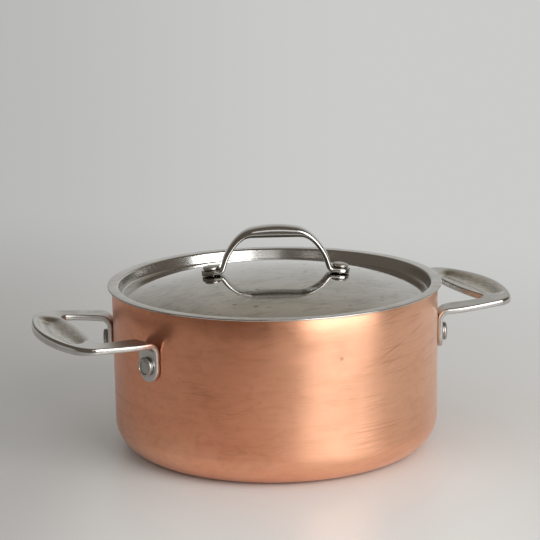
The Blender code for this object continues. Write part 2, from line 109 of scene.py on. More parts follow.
# What the metal mirrors, by height from level up: the pale backdrop, and the dim room beside it
BACKDROP_BY_HEIGHT = ((0.00, (0.66, 0.66, 0.65)), (0.13, (0.60, 0.60, 0.59)), (0.38, (0.50, 0.49, 0.465)),
                      (0.60, (0.39, 0.36, 0.31)), (0.78, (0.20, 0.175, 0.14)), (0.92, (0.13, 0.11, 0.09)))
ROOM_BY_HEIGHT = ((0.00, (0.13, 0.11, 0.09)), (0.70, (0.12, 0.10, 0.08)), (1.00, (0.14, 0.12, 0.10)))


# Sizes and colours


class PotBodySizes(bpy.types.PropertyGroup):
    """Sizes of the copper body and its lining."""

    radius: FloatProperty(name="Radius", description="Outside radius of the copper wall",
                          default=BODY_TOP.x, unit="LENGTH")
    height: FloatProperty(name="Height", description="Height of the rim over the base",
                          default=BODY_TOP.z, unit="LENGTH")
    foot_radius: FloatProperty(name="Foot radius", description="Radius of the bend from wall to base",
                               default=0.024, unit="LENGTH")
    copper: FloatProperty(name="Copper", description="Thickness of the copper layer",
                          default=0.0014, unit="LENGTH")
    seat_gap: FloatProperty(name="Seat gap", description="Gap between pieces that are fastened together",
                            default=0.0003, unit="LENGTH")
    bond_gap: FloatProperty(name="Bond line", description="Width of the fine line between copper and lining",
                            default=0.00006, unit="LENGTH")
    lining: FloatProperty(name="Lining", description="Thickness of the steel lining",
                          default=0.001, unit="LENGTH")
    rim_round: FloatProperty(name="Rim rounding", description="Radius that softens the rim's edges",
                             default=0.0003, unit="LENGTH")
    steps: IntProperty(name="Steps", description="Facets round the pot", default=256, min=24)


class SideHandleSizes(bpy.types.PropertyGroup):
    """Sizes of the two side handles."""

    rivet_drop: FloatProperty(name="Rivet drop", description="Depth of the rivets under the rim",
                              default=0.0421, unit="LENGTH")
    rivet_spacing: FloatProperty(name="Rivet spacing", description="Distance between the two rivets",
                                 default=0.0917, unit="LENGTH")
    tab_thickness: FloatProperty(name="Tab thickness", description="Thickness of the riveted tabs",
                                 default=0.0039, unit="LENGTH")
    tab_width: FloatProperty(name="Tab width", description="Width of the riveted tabs",
                             default=0.0204, unit="LENGTH")
    tab_drop: FloatProperty(name="Tab drop", description="How far a tab reaches below its rivet",
                            default=0.012, unit="LENGTH")
    arm_rise: FloatProperty(name="Arm rise", description="Height of the arm over the rivets",
                            default=0.0201, unit="LENGTH")
    arm_bend: FloatProperty(name="Arm bend", description="Inside radius of the bend from tab to arm",
                            default=0.0052, unit="LENGTH")
    arm_width: FloatProperty(name="Arm width", description="Width of an arm at the shoulder",
                             default=0.0185, unit="LENGTH")
    arm_thickness: FloatProperty(name="Arm thickness", description="Thickness of an arm",
                                 default=0.0046, unit="LENGTH")
    reach: FloatProperty(name="Reach", description="How far the handle stands out from the wall",
                         default=0.0642, unit="LENGTH")
    span: FloatProperty(name="Span", description="Width of the handle across its shoulders",
                        default=0.131, unit="LENGTH")
    shoulder_reach: FloatProperty(name="Shoulder reach", description="Distance of the shoulder from the wall",
                                  default=0.037, unit="LENGTH")
    shoulder_turn: FloatProperty(name="Shoulder turn", description="Direction of the arm at the shoulder",
                                 default=math.radians(5), unit="ROTATION")
    outer_drop: FloatProperty(name="Outer corner", description="Depth of the outer corner's round",
                              default=0.011, unit="LENGTH")
    inner_drop: FloatProperty(name="Inner corner", description="Depth of the inner corner's round",
                              default=0.007, unit="LENGTH")
    inner_reach: FloatProperty(name="Inner corner reach", description="Length of the inner corner's round",
                               default=0.0065, unit="LENGTH")
    grip_width: FloatProperty(name="Grip width", description="Width of the grip at its middle",
                              default=0.0325, unit="LENGTH")
    outer_curve: FloatProperty(name="Outer curve", description="Radius of the grip's outer edge",
                               default=0.135, unit="LENGTH")
    inner_curve: FloatProperty(name="Inner curve", description="Radius of the grip's inner edge",
                               default=0.3, unit="LENGTH")
    dish: FloatProperty(name="Dish", description="Depth of the hollow along the grip",
                        default=0.0034, unit="LENGTH")
    outer_edge: FloatProperty(name="Outer edge", description="Thickness of the grip's outer edge",
                              default=0.007, unit="LENGTH")
    inner_edge: FloatProperty(name="Inner edge", description="Thickness of the grip's inner edge",
                              default=0.0052, unit="LENGTH")
    edge_round: FloatProperty(name="Edge rounding", description="Width of the rounded band along each edge",
                              default=0.0022, unit="LENGTH")
    edge_crease: FloatProperty(name="Edge crease", description="How tightly the edges are rounded",
                               default=0.15, min=0, max=1)
    dish_start: FloatProperty(name="Dish end", description="Distance from the grip's middle to its end",
                              default=0.046, unit="LENGTH")
    dish_slope: FloatProperty(name="Dish slope", description="Length over which the dish gets its depth",
                              default=0.009, unit="LENGTH")
    left_tilt: FloatProperty(name="Left tilt", description="Slope of the left handle's arms",
                             default=math.radians(3.5), unit="ROTATION")
    right_tilt: FloatProperty(name="Right tilt", description="Slope of the right handle's arms",
                              default=math.radians(6.2), unit="ROTATION")


class LidSizes(bpy.types.PropertyGroup):
    """Sizes of the pressed lid."""

    sheet: FloatProperty(name="Sheet", description="Thickness of the lid's sheet",
                         default=0.0012, unit="LENGTH")
    overhang: FloatProperty(name="Overhang", description="How far the flange passes the wall",
                            default=0.0032, unit="LENGTH")
    recess_radius: FloatProperty(name="Recess radius", description="Radius of the sunk wall at its top",
                                 default=0.1215, unit="LENGTH")
    recess_depth: FloatProperty(name="Recess depth", description="Depth of the sunk wall",
                                default=0.0095, unit="LENGTH")
    recess_draft: FloatProperty(name="Recess draft", description="How far the sunk wall leans inward",
                                default=0.0018, unit="LENGTH")
    bend_radius: FloatProperty(name="Bend radius", description="Radius of the bends at the sunk wall",
                               default=0.002, unit="LENGTH")
    dome_rise: FloatProperty(name="Dome rise", description="Height of the dome over its edge",
                             default=0.0175, unit="LENGTH")
    edge_round: FloatProperty(name="Edge rounding", description="Radius that softens the flange's edge",
                              default=0.00045, unit="LENGTH")


class LidHandleSizes(bpy.types.PropertyGroup):
    """Sizes of the arch handle on the lid."""

    spacing: FloatProperty(name="Rivet spacing", description="Distance between the lid rivets",
                           default=0.0994, unit="LENGTH")
    turn: FloatProperty(name="Turn", description="How far the lid is turned in its seat",
                        default=math.radians(-19.7), unit="ROTATION")
    shift: FloatProperty(name="Shift", description="How far off centre the handle is riveted",
                         default=0.0011, unit="LENGTH")
    tab_radius: FloatProperty(name="Tab radius", description="Half the width of the riveted tabs",
                              default=0.0079, unit="LENGTH")
    leg: FloatProperty(name="Leg thickness", description="Thickness of the legs",
                       default=0.0045, unit="LENGTH")
    leg_bend: FloatProperty(name="Leg bend", description="Inside radius of the bend at a leg's foot",
                            default=0.0016, unit="LENGTH")
    foot_spread: FloatProperty(name="Foot spread", description="Distance between the legs at their feet",
                               default=0.0852, unit="LENGTH")
    leg_lean: FloatProperty(name="Leg lean", description="Lean of the legs at their feet",
                            default=math.radians(18), unit="ROTATION")
    top_height: FloatProperty(name="Top height", description="Height of the grip over the flange and dome",
                              default=0.03625, unit="LENGTH")
    half_width: FloatProperty(name="Half width", description="Half the width of the grip",
                              default=0.0088, unit="LENGTH")
    grip: FloatProperty(name="Grip thickness", description="Thickness of the grip at its middle",
                        default=0.01, unit="LENGTH")
    corner_spread: FloatProperty(name="Corner spread", description="Distance between the upper corners",
                                 default=0.0787, unit="LENGTH")
    corner_height: FloatProperty(name="Corner height", description="Depth of the corners under the top",
                                 default=0.0216, unit="LENGTH")
    corner_lean: FloatProperty(name="Corner lean", description="Lean of the handle at its corners",
                               default=math.radians(28), unit="ROTATION")
    flat_spread: FloatProperty(name="Flat spread", description="Length of the flat top",
                               default=0.034, unit="LENGTH")
    flat_drop: FloatProperty(name="Flat drop", description="Fall of the top towards its ends",
                             default=0.0016, unit="LENGTH")
    oval: FloatProperty(name="Oval", description="How far the section narrows to its top and underside",
                        default=0.12, min=0, max=0.8)
    edge_crease: FloatProperty(name="Edge crease", description="How tightly the edges are rounded",
                               default=0.2, min=0, max=1)
    under_spread: FloatProperty(name="Underside spread", description="Length of the flat underside",
                                default=0.039, unit="LENGTH")


class RivetSizes(bpy.types.PropertyGroup):
    """Sizes of the rivets."""

    head: FloatProperty(name="Head radius", description="Radius of a side rivet's head",
                        default=0.00715, unit="LENGTH")
    head_height: FloatProperty(name="Head height", description="Height of a side rivet's head",
                               default=0.0032, unit="LENGTH")
    ring: FloatProperty(name="Ring radius", description="Radius of the raised ring on the head",
                        default=0.0057, unit="LENGTH")
    shank: FloatProperty(name="Shank radius", description="Radius of a side rivet's shank",
                         default=0.0032, unit="LENGTH")
    tail: FloatProperty(name="Tail radius", description="Radius of a side rivet's tail inside the pot",
                        default=0.0055, unit="LENGTH")
    tail_height: FloatProperty(name="Tail height", description="Height of a side rivet's tail",
                               default=0.0022, unit="LENGTH")
    tail_seat: FloatProperty(name="Tail seat", description="Depth of a tail's seat in the lining",
                             default=0.0008, unit="LENGTH")
    lid_head: FloatProperty(name="Lid head radius", description="Radius of a lid rivet's head",
                            default=0.0063, unit="LENGTH")
    lid_head_height: FloatProperty(name="Lid head height", description="Height of a lid rivet's head",
                                   default=0.0027, unit="LENGTH")
    lid_shank: FloatProperty(name="Lid shank radius", description="Radius of a lid rivet's shank",
                             default=0.0025, unit="LENGTH")
    lid_tail_height: FloatProperty(name="Lid tail height", description="Height of a lid rivet's tail",
                                   default=0.0015, unit="LENGTH")
    steps: IntProperty(name="Steps", description="Facets round a rivet", default=96, min=12)


class FinishColours(bpy.types.PropertyGroup):
    """Colours of the metals and their marks."""

    # The plain copper has no painted light; the pale copper is the same copper with painted light from the
    # main light's side.
    copper: FloatVectorProperty(name="Copper", description="Brushed copper, as it is on the left",
                                subtype="COLOR", size=4, min=0, max=1, default=(0.88, 0.375, 0.22, 1))
    copper_painted_lit: FloatVectorProperty(name="Pale copper", description="Copper rubbed paler, on the right",
                                     subtype="COLOR", size=4, min=0, max=1, default=(0.96, 0.53, 0.34, 1))
    copper_dull: FloatVectorProperty(name="Dull copper", description="Copper where it has darkened",
                                     subtype="COLOR", size=4, min=0, max=1, default=(0.66, 0.26, 0.14, 1))
    copper_mark: FloatVectorProperty(name="Copper marks", description="Rusty brown marks on the copper",
                                     subtype="COLOR", size=4, min=0, max=1, default=(0.36, 0.13, 0.07, 1))
    copper_haze: FloatVectorProperty(name="Copper haze", description="Pale film on copper seen edge-on",
                                     subtype="COLOR", size=4, min=0, max=1, default=(0.95, 0.78, 0.68, 1))
    haze: FloatProperty(name="Haze", description="How strong the pale film on the copper is", default=0.12,
                        min=0, max=1)
    # This turn points to the painted light: the copper is painted paler towards the main light's side.
    painted_light_turn: FloatProperty(name="Rubbed side", description="Direction to which the copper gets paler",
                               default=math.radians(-22), unit="ROTATION")
    brushing: FloatProperty(name="Brushing", description="How far the brushed copper draws a highlight out",
                            default=0.5, min=0, max=1)
    lining: FloatVectorProperty(name="Lining", description="Satin steel of the lining",
                                subtype="COLOR", size=4, min=0, max=1, default=(0.62, 0.61, 0.59, 1))
    lid: FloatVectorProperty(name="Lid", description="Polished steel of the lid",
                             subtype="COLOR", size=4, min=0, max=1, default=(0.64, 0.63, 0.61, 1))
    lid_film: FloatVectorProperty(name="Lid film", description="Steel under dried water marks",
                                  subtype="COLOR", size=4, min=0, max=1, default=(0.42, 0.40, 0.36, 1))
    lid_drops: FloatVectorProperty(name="Lid drops", description="Dark edges of dried drops on the lid",
                                   subtype="COLOR", size=4, min=0, max=1, default=(0.22, 0.21, 0.19, 1))
    handle: FloatVectorProperty(name="Handles", description="Polished steel of the handles",
                                subtype="COLOR", size=4, min=0, max=1, default=(0.60, 0.59, 0.57, 1))
    # The hollow's darker steel is painted shade; its brushing is real grain.
    handle_dish_painted_shade: FloatVectorProperty(name="Handle dish", description="Brushed steel in the hollow of a grip",
                                     subtype="COLOR", size=4, min=0, max=1, default=(0.42, 0.40, 0.36, 1))
    rivet: FloatVectorProperty(name="Rivets", description="Satin steel of the rivets",
                               subtype="COLOR", size=4, min=0, max=1, default=(0.48, 0.465, 0.44, 1))


class StageSettings(bpy.types.PropertyGroup):
    """Floor, lights and camera."""

    floor: FloatVectorProperty(name="Floor", description="Colour of the floor",
                               subtype="COLOR", size=4, min=0, max=1, default=(0.64, 0.63, 0.615, 1))
    # The backdrop is darker on the left than on the right: painted shade away from the main light.
    backdrop_left: FloatVectorProperty(name="Backdrop, left", description="Colour far behind, on the left",
                                       subtype="COLOR", size=4, min=0, max=1,
                                       default=(0.475, 0.475, 0.465, 1))
    backdrop_right: FloatVectorProperty(name="Backdrop, right", description="Colour far behind, on the right",
                                        subtype="COLOR", size=4, min=0, max=1,
                                        default=(0.60, 0.60, 0.592, 1))
    floor_grain: FloatVectorProperty(name="Floor grain", description="Fine darker grain of the floor",
                                     subtype="COLOR", size=4, min=0, max=1, default=(0.35, 0.34, 0.33, 1))
    dim_room: FloatVectorProperty(name="Dim room", description="What metal mirrors past the bright table",
                                  subtype="COLOR", size=4, min=0, max=1, default=(0.13, 0.115, 0.095, 1))
    sky: FloatVectorProperty(name="Backdrop, above", description="Colour behind the pot over the floor's end",
                             subtype="COLOR", size=4, min=0, max=1, default=(0.58, 0.58, 0.575, 1))
    key: FloatProperty(name="Main light", description="Power of the large soft light",
                       default=19.8, min=0, unit="POWER")
    key_turn: FloatProperty(name="Main light's turn", description="Its turn round the pot from the camera",
                            default=math.radians(43), unit="ROTATION")
    fill: FloatProperty(name="Fill light", description="Power of the small soft light in front",
                        default=1.6, min=0, unit="POWER")
    fill_turn: FloatProperty(name="Fill light's turn", description="Its turn round the pot from the camera",
                             default=math.radians(14), unit="ROTATION")
    fill_rise: FloatProperty(name="Fill light's rise", description="Its height as an angle",
                             default=math.radians(25), unit="ROTATION")
    ambient: FloatProperty(name="Ambient light", description="Strength of the light from all round",
                           default=0.62, min=0)
    # The shade turn and the fan point place the painted shade on the floor and backdrop.
    shade_turn: FloatProperty(name="Shade turn", description="Direction to which the backdrop gets lighter",
                              default=math.radians(-22.3), unit="ROTATION")
    backdrop_turn: FloatProperty(name="Backdrop turn", description="Turn of the backdrop's middle from there",
                                 default=math.radians(8), unit="ROTATION")
    fan: FloatProperty(name="Fan point", description="How far in front the backdrop's shades fan out from",
                       default=1.38, unit="LENGTH")
    table: FloatProperty(name="Bright table", description="Reach of the bright table in front of the pot",
                         default=0.42, unit="LENGTH")
    azimuth: FloatProperty(name="Camera azimuth", description="Camera's turn round the pot",
                           default=math.radians(22.3), unit="ROTATION")
    elevation: FloatProperty(name="Camera elevation", description="Camera's height as an angle",
                             default=math.radians(12.33), unit="ROTATION")
    roll: FloatProperty(name="Camera roll", description="Camera's lean to one side",
                        default=math.radians(-0.89), unit="ROTATION")
    distance: FloatProperty(name="Camera distance", description="Distance from the camera to its aim",
                            default=1.41058, unit="LENGTH")
    aim_height: FloatProperty(name="Aim height", description="Height of the point in the picture's centre",
                              default=0.13744, unit="LENGTH")
    aim_side: FloatProperty(name="Aim side", description="Sideways place of the picture's centre",
                            default=-0.00344, unit="LENGTH")
    lens: FloatProperty(name="Lens", description="Focal length in millimetres", default=120.67, min=1)


# Lines and curves


def arc(centre, radius, start, end, steps):
    """Points (x, z) of an arc between two angles in degrees, ends included."""
    points = []
    for step in range(steps + 1):
        angle = math.radians(start + (end - start) * step / steps)
        points.append((centre[0] + radius * math.cos(angle), centre[1] + radius * math.sin(angle)))
    return points


def curve(start, start_turn, end, end_turn, steps):
    """Points of a smooth bend between two points, leaving and arriving at the given angles.

    The bend's two handles are each a third of the way between the points.
    """
    start, end = Vector(start), Vector(end)
    pull = (end - start).length / 3
    leave = start + Vector((math.cos(start_turn), math.sin(start_turn))) * pull
    arrive = end - Vector((math.cos(end_turn), math.sin(end_turn))) * pull
    return list(interpolate_bezier(start, leave, arrive, end, steps + 1))


def join(*stretches):
    """One run of points from stretches that share their ends."""
    points = list(stretches[0])
    for stretch in stretches[1:]:
        points.extend(stretch[1:])
    return points


def fillet(before, corner, after, radius, steps):
    """Points that round one corner of an outline."""
    before, corner, after = Vector(before), Vector(corner), Vector(after)
    back = (before - corner).normalized()
    on = (after - corner).normalized()
    half = back.angle(on) / 2
    middle = corner + (back + on).normalized() * (radius / math.sin(half))
    start = corner + back * (radius / math.tan(half)) - middle
    end = corner + on * (radius / math.tan(half)) - middle
    sweep = start.angle_signed(end)
    return [middle + Matrix.Rotation(-sweep * step / steps, 2) @ start for step in range(steps + 1)]


def round_end(radius):
    """Steps of a tab's round end: how far each lies out from the end's centre, and its half width."""
    for step in range(TAB_END_STEPS + 1):
        angle = math.radians(TAB_END_START + (90 - TAB_END_START) * step / TAB_END_STEPS)
        yield radius * math.cos(angle), radius * math.sin(angle)


def smooth_share(share):
    """A share from 0 to 1 that starts and ends gently."""
    return math.sin(max(0, min(1, share)) * math.pi / 2) ** 2


# Modelling by hand


def start_line(name, points, piece=None):
    """Puts one vertex at the first point and extrudes it through the rest, in edit mode."""
    if piece is None:
        bpy.ops.object.select_all(action="DESELECT")
    bpy.ops.mesh.primitive_plane_add(size=SEED_WIDTH, location=(0, 0, 0))
    if piece is None:
        piece = bpy.context.object
        piece.name = piece.data.name = name
        bpy.ops.object.mode_set(mode="EDIT")
        bpy.ops.mesh.select_mode(type="VERT")
        bpy.ops.mesh.select_all(action="SELECT")
    bpy.ops.mesh.merge(type="CENTER")
    points = [Vector(point) for point in points]
    bpy.ops.transform.translate(value=points[0])
    for before, after in zip(points, points[1:]):
        bpy.ops.mesh.extrude_vertices_move(TRANSFORM_OT_translate={"value": after - before})
    return piece


def apply_modifier(piece, name, kind, **settings):
    """Adds one modifier with its settings and applies it."""
    modifier = piece.modifiers.new(name, kind)
    for key, value in settings.items():
        setattr(modifier, key, value)
    bpy.ops.object.modifier_apply(modifier=modifier.name)


def spin_outline(name, outline, steps):
    """Turns a half outline (x, z) about Z, closes its poles and points its faces outwards."""
    piece = start_line(name, [(x, 0, z) for x, z in outline])
    bpy.ops.mesh.select_all(action="SELECT")
    bpy.ops.mesh.spin(steps=steps, angle=math.tau, center=(0, 0, 0), axis=(0, 0, 1))
    bpy.ops.mesh.select_all(action="SELECT")
    bpy.ops.mesh.remove_doubles(threshold=NEAR)
    bpy.ops.mesh.normals_make_consistent(inside=False)
    bpy.ops.object.mode_set(mode="OBJECT")
    return piece


def spin_sheet(name, outline, steps, thickness, edge_round):
    """A turned sheet: its outside is spun, then given its thickness and soft edges."""
    piece = spin_outline(name, outline, steps)
    apply_modifier(piece, "wall", "SOLIDIFY", thickness=thickness, offset=-1, use_even_offset=True)
    apply_modifier(piece, "edge", "BEVEL", width=edge_round, segments=3, limit_method="ANGLE",
                   angle_limit=math.radians(SOFTENED_ANGLE))
    return piece


def finish_piece(piece, material, body, node, broken_angle=BROKEN_ANGLE):
    """Smooths a finished piece, gives it its metal and ties it to the frame."""
    bpy.ops.object.select_all(action="DESELECT")
    piece.select_set(True)
    bpy.context.view_layer.objects.active = piece
    bpy.ops.object.transform_apply(location=True, rotation=True, scale=True)
    bpy.ops.object.shade_smooth_by_angle(angle=math.radians(broken_angle))
    piece.data.materials.clear()
    piece.data.materials.append(material)
    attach(piece, body)
    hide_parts(node)


def copy_piece(piece, name, place):
    """A copy with its own mesh, set to another place."""
    bpy.ops.object.select_all(action="DESELECT")
    piece.select_set(True)
    bpy.context.view_layer.objects.active = piece
    bpy.ops.object.duplicate(linked=False)
    twin = bpy.context.object
    twin.name = twin.data.name = name
    twin.matrix_world = place
    return twin


# Body


def body_outline(sizes, depth):
    """Outer face of one layer of the body, from the axis to the rim, at a depth under the copper's face."""
    flat = sizes.radius - sizes.foot_radius
    rise = sizes.height - sizes.foot_radius
    base = [(flat * step / BASE_STEPS, depth) for step in range(BASE_STEPS)]
    foot = arc((flat, sizes.foot_radius), sizes.foot_radius - depth, -90, 0, FOOT_STEPS)
    wall = [(sizes.radius - depth, sizes.foot_radius + rise * step / WALL_STEPS)
            for step in range(1, WALL_STEPS + 1)]
    return base + foot + wall


# Side handles


def rivet_turn(scene):
    """Angle of a side rivet from its handle's axis."""
    return math.asin(scene.side_handle.rivet_spacing / (2 * scene.pot_body.radius))


def handle_edges(scene, root_distance):
    """Outer and inner edges of half a handle from above, from its root to its middle."""
    sizes, wall = scene.side_handle, scene.pot_body.radius
    turn = rivet_turn(scene)
    radial = Vector((math.cos(turn), math.sin(turn)))
    sideways = Vector((-radial.y, radial.x))
    tip, half_span, across = wall + sizes.reach, sizes.span / 2, -math.pi / 2

    root = radial * root_distance + sideways * sizes.tab_width / 2
    shoulder = (wall + sizes.shoulder_reach, half_span)
    side = half_span - sizes.outer_drop
    lean = math.asin(side / sizes.outer_curve)
    end = (tip - sizes.outer_curve * (1 - math.cos(lean)), side)
    outer = join(curve(root, turn, shoulder, sizes.shoulder_turn, ARM_STEPS),
                 curve(shoulder, sizes.shoulder_turn, end, across + lean, CORNER_STEPS),
                 curve(end, across + lean, (tip, 0), across, GRIP_STEPS))

    root = radial * root_distance - sideways * sizes.tab_width / 2
    side = half_span - sizes.arm_width - sizes.inner_drop
    lean = math.asin(side / sizes.inner_curve)
    middle = tip - sizes.grip_width
    end = (middle + sizes.inner_curve * (1 - math.cos(lean)), side)
    shoulder = (end[0] - sizes.inner_reach, half_span - sizes.arm_width)
    inner = join(curve(root, turn, shoulder, sizes.shoulder_turn, ARM_STEPS),
                 curve(shoulder, sizes.shoulder_turn, end, across - lean, CORNER_STEPS),
                 curve(end, across - lean, (middle, 0), across, GRIP_STEPS))
    return outer, inner


def handle_rungs(scene, slope):
    """Rungs of half a handle's upper face, from the tab's end to the middle of the grip.

    A rung holds its inner and outer point, the thickness at each, how far the face curls
    with the wall between them, and how much of the grip's dish it has.
    """
    sizes, wall, gap = scene.side_handle, scene.pot_body.radius, scene.pot_body.seat_gap
    turn = rivet_turn(scene)
    height = scene.pot_body.height - sizes.rivet_drop
    radial = Vector((math.cos(turn), math.sin(turn), 0))
    sideways = Vector((-radial.y, radial.x, 0))
    up = Vector((0, 0, 1))
    tilt = math.atan(math.tan(slope) * math.cos(turn))
    bend = sizes.arm_bend + sizes.tab_thickness
    sweep = math.pi / 2 - tilt
    bend_height = height + sizes.arm_rise - bend * math.sin(sweep)
    half = sizes.tab_width / 2
    back = radial * (wall + gap)

    rungs = []

    def add_tab_rung(middle, width, share):
        curl = width ** 2 / (2 * wall) * (1 - share)
        thickness = sizes.tab_thickness + (sizes.arm_thickness - sizes.tab_thickness) * share
        middle = middle - radial * curl
        rungs.append((middle - sideways * width, middle + sideways * width, thickness, thickness, curl, 0))

    start = height - sizes.tab_drop + half
    for out, width in round_end(half):
        add_tab_rung(back + up * (start - out), width, 0)
    for step in range(1, TAB_SIDE_STEPS + 1):
        add_tab_rung(back + up * (start + (bend_height - start) * step / TAB_SIDE_STEPS), half, 0)
    centre = radial * (wall + gap + bend) + up * bend_height
    for step in range(1, BEND_STEPS + 1):
        angle = sweep * step / BEND_STEPS
        spoke = up * math.sin(angle) - radial * math.cos(angle)
        add_tab_rung(centre + spoke * bend, half, step / BEND_STEPS)

    root_distance = wall + gap + bend * (1 - math.sin(tilt))
    root_reach = root_distance * math.cos(turn)
    outer, inner = handle_edges(scene, root_distance)
    grip_start = ARM_STEPS + CORNER_STEPS
    for index in range(1, len(outer)):
        steps = min(index, grip_start) + max(index - grip_start, 0) * GRIP_STEP_SHARE
        share = smooth_share((steps - SWELL_START) / SWELL_LENGTH)
        points = []
        for plan in (inner[index], outer[index]):
            rise = height + sizes.arm_rise + math.tan(slope) * (plan.x - root_reach)
            points.append(Vector((plan.x, plan.y, rise)))
        dish = smooth_share((sizes.dish_start - (points[0].y + points[1].y) / 2) / sizes.dish_slope)
        rungs.append((*points, sizes.arm_thickness + (sizes.inner_edge - sizes.arm_thickness) * share,
                      sizes.arm_thickness + (sizes.outer_edge - sizes.arm_thickness) * share, 0, dish))
    return rungs


def side_handle(scene, name, slope):
    """One whole side handle on +X: half its face is bridged, hollowed, mirrored and thickened."""
    sizes = scene.side_handle
    rungs = handle_rungs(scene, slope)
    places = {}
    for number, (inner, outer, *_) in enumerate(rungs):
        band = min(sizes.edge_round / (outer - inner).length, EDGE_BAND_LIMIT_SHARE)
        middle = [band + (1 - 2 * band) * step / HANDLE_STRIPS for step in range(HANDLE_STRIPS + 1)]
        for column, share in enumerate([0, *middle, 1]):
            places[number, column] = (inner.lerp(outer, share), share)
    lines = (0, 1, HANDLE_STRIPS + 1, HANDLE_STRIPS + 2)
    piece = None
    for column in lines:
        piece = start_line(name, [places[number, column][0] for number in range(len(rungs))], piece)
    tree = KDTree(len(places))
    labels = list(places)
    for index, label in enumerate(labels):
        tree.insert(places[label][0], index)
    tree.balance()
    for first, second, cuts in ((lines[0], lines[1], 0), (lines[2], lines[3], 0),
                                (lines[1], lines[2], HANDLE_STRIPS - 1)):
        bpy.ops.mesh.select_all(action="DESELECT")
        bpy.ops.object.mode_set(mode="OBJECT")
        for vertex in piece.data.vertices:
            vertex.select = labels[tree.find(vertex.co)[1]][1] in (first, second)
        bpy.ops.object.mode_set(mode="EDIT")
        bpy.ops.mesh.bridge_edge_loops(number_cuts=cuts, interpolation="LINEAR")
    bpy.ops.mesh.select_all(action="SELECT")
    bpy.ops.mesh.normals_make_consistent(inside=False)
    bpy.ops.object.mode_set(mode="OBJECT")
    halfway = scene.pot_body.radius + sizes.reach / 2
    if sum(face.normal.z for face in piece.data.polygons if face.center.x > halfway) < 0:
        bpy.ops.object.mode_set(mode="EDIT")
        bpy.ops.mesh.flip_normals()
        bpy.ops.object.mode_set(mode="OBJECT")

    hollow = piece.vertex_groups.new(name="hollow")
    thick = piece.vertex_groups.new(name="thick")
    for vertex in piece.data.vertices:
        label = labels[tree.find(vertex.co)[1]]
        _, _, inner, outer, curl, dish = rungs[label[0]]
        share = places[label][1]
        sink = sizes.dish * dish * math.cos(math.pi * (share - 0.5)) ** HOLLOW_POWER
        bow = curl * 4 * share * (1 - share)
        hollow.add([vertex.index], (sink + bow) / sizes.dish, "REPLACE")
        thickness = inner + (outer - inner) * share - sink
        thick.add([vertex.index], thickness / sizes.outer_edge, "REPLACE")
    apply_modifier(piece, "hollow", "DISPLACE", strength=-sizes.dish, mid_level=0, vertex_group="hollow")
    apply_modifier(piece, "mirror", "MIRROR", use_axis=(False, True, False), merge_threshold=NEAR)
    apply_modifier(piece, "strip", "SOLIDIFY", thickness=sizes.outer_edge, offset=-1,
                   vertex_group="thick", use_even_offset=True,
                   edge_crease_outer=sizes.edge_crease, edge_crease_inner=sizes.edge_crease)
    apply_modifier(piece, "round", "SUBSURF", levels=2, render_levels=2)
    return piece


# Lid


def lid_heights(scene):
    """Heights of the flange's top and of the dome's edge over the base."""
    flange = scene.pot_body.height + scene.pot_body.seat_gap + scene.pot_lid.sheet
    return flange, flange - scene.pot_lid.recess_depth


def dome_sphere(scene):
    """Radius of the sphere that gives the dome its rise."""
    sizes = scene.pot_lid
    edge = sizes.recess_radius - sizes.recess_draft
    return (edge ** 2 + sizes.dome_rise ** 2) / (2 * sizes.dome_rise)


def dome_height(scene, radius):
    """Height of the dome's upper face at a radius."""
    sphere = dome_sphere(scene)
    return lid_heights(scene)[1] + scene.pot_lid.dome_rise - sphere + math.sqrt(sphere ** 2 - radius ** 2)


def lid_outline(scene):
    """Upper face of the lid from the axis to the flange's edge."""
    sizes = scene.pot_lid
    flange, dome_edge = lid_heights(scene)
    foot_radius = sizes.recess_radius - sizes.recess_draft
    dome_end = foot_radius - 2 * sizes.bend_radius
    radii = [dome_end * step / DOME_STEPS for step in range(DOME_STEPS + 1)]
    dome = [(radius, dome_height(scene, radius)) for radius in radii]
    foot = (foot_radius, dome_edge)
    top = (sizes.recess_radius, flange)
    edge = (scene.pot_body.radius + sizes.overhang, flange)
    return (dome + fillet(dome[-1], foot, top, sizes.bend_radius, FILLET_STEPS)
            + fillet(foot, top, edge, sizes.bend_radius, FILLET_STEPS) + [edge])


def lid_handle_place(scene):
    """Where the lid handle sits: turned, and slid along the dome's sphere."""
    sphere = dome_sphere(scene)
    centre = Matrix.Translation((0, 0, dome_height(scene, 0) - sphere))
    slide = Matrix.Rotation(scene.lid_handle.shift / sphere, 4, "Y")
    return Matrix.Rotation(scene.lid_handle.turn, 4, "Z") @ centre @ slide @ centre.inverted()


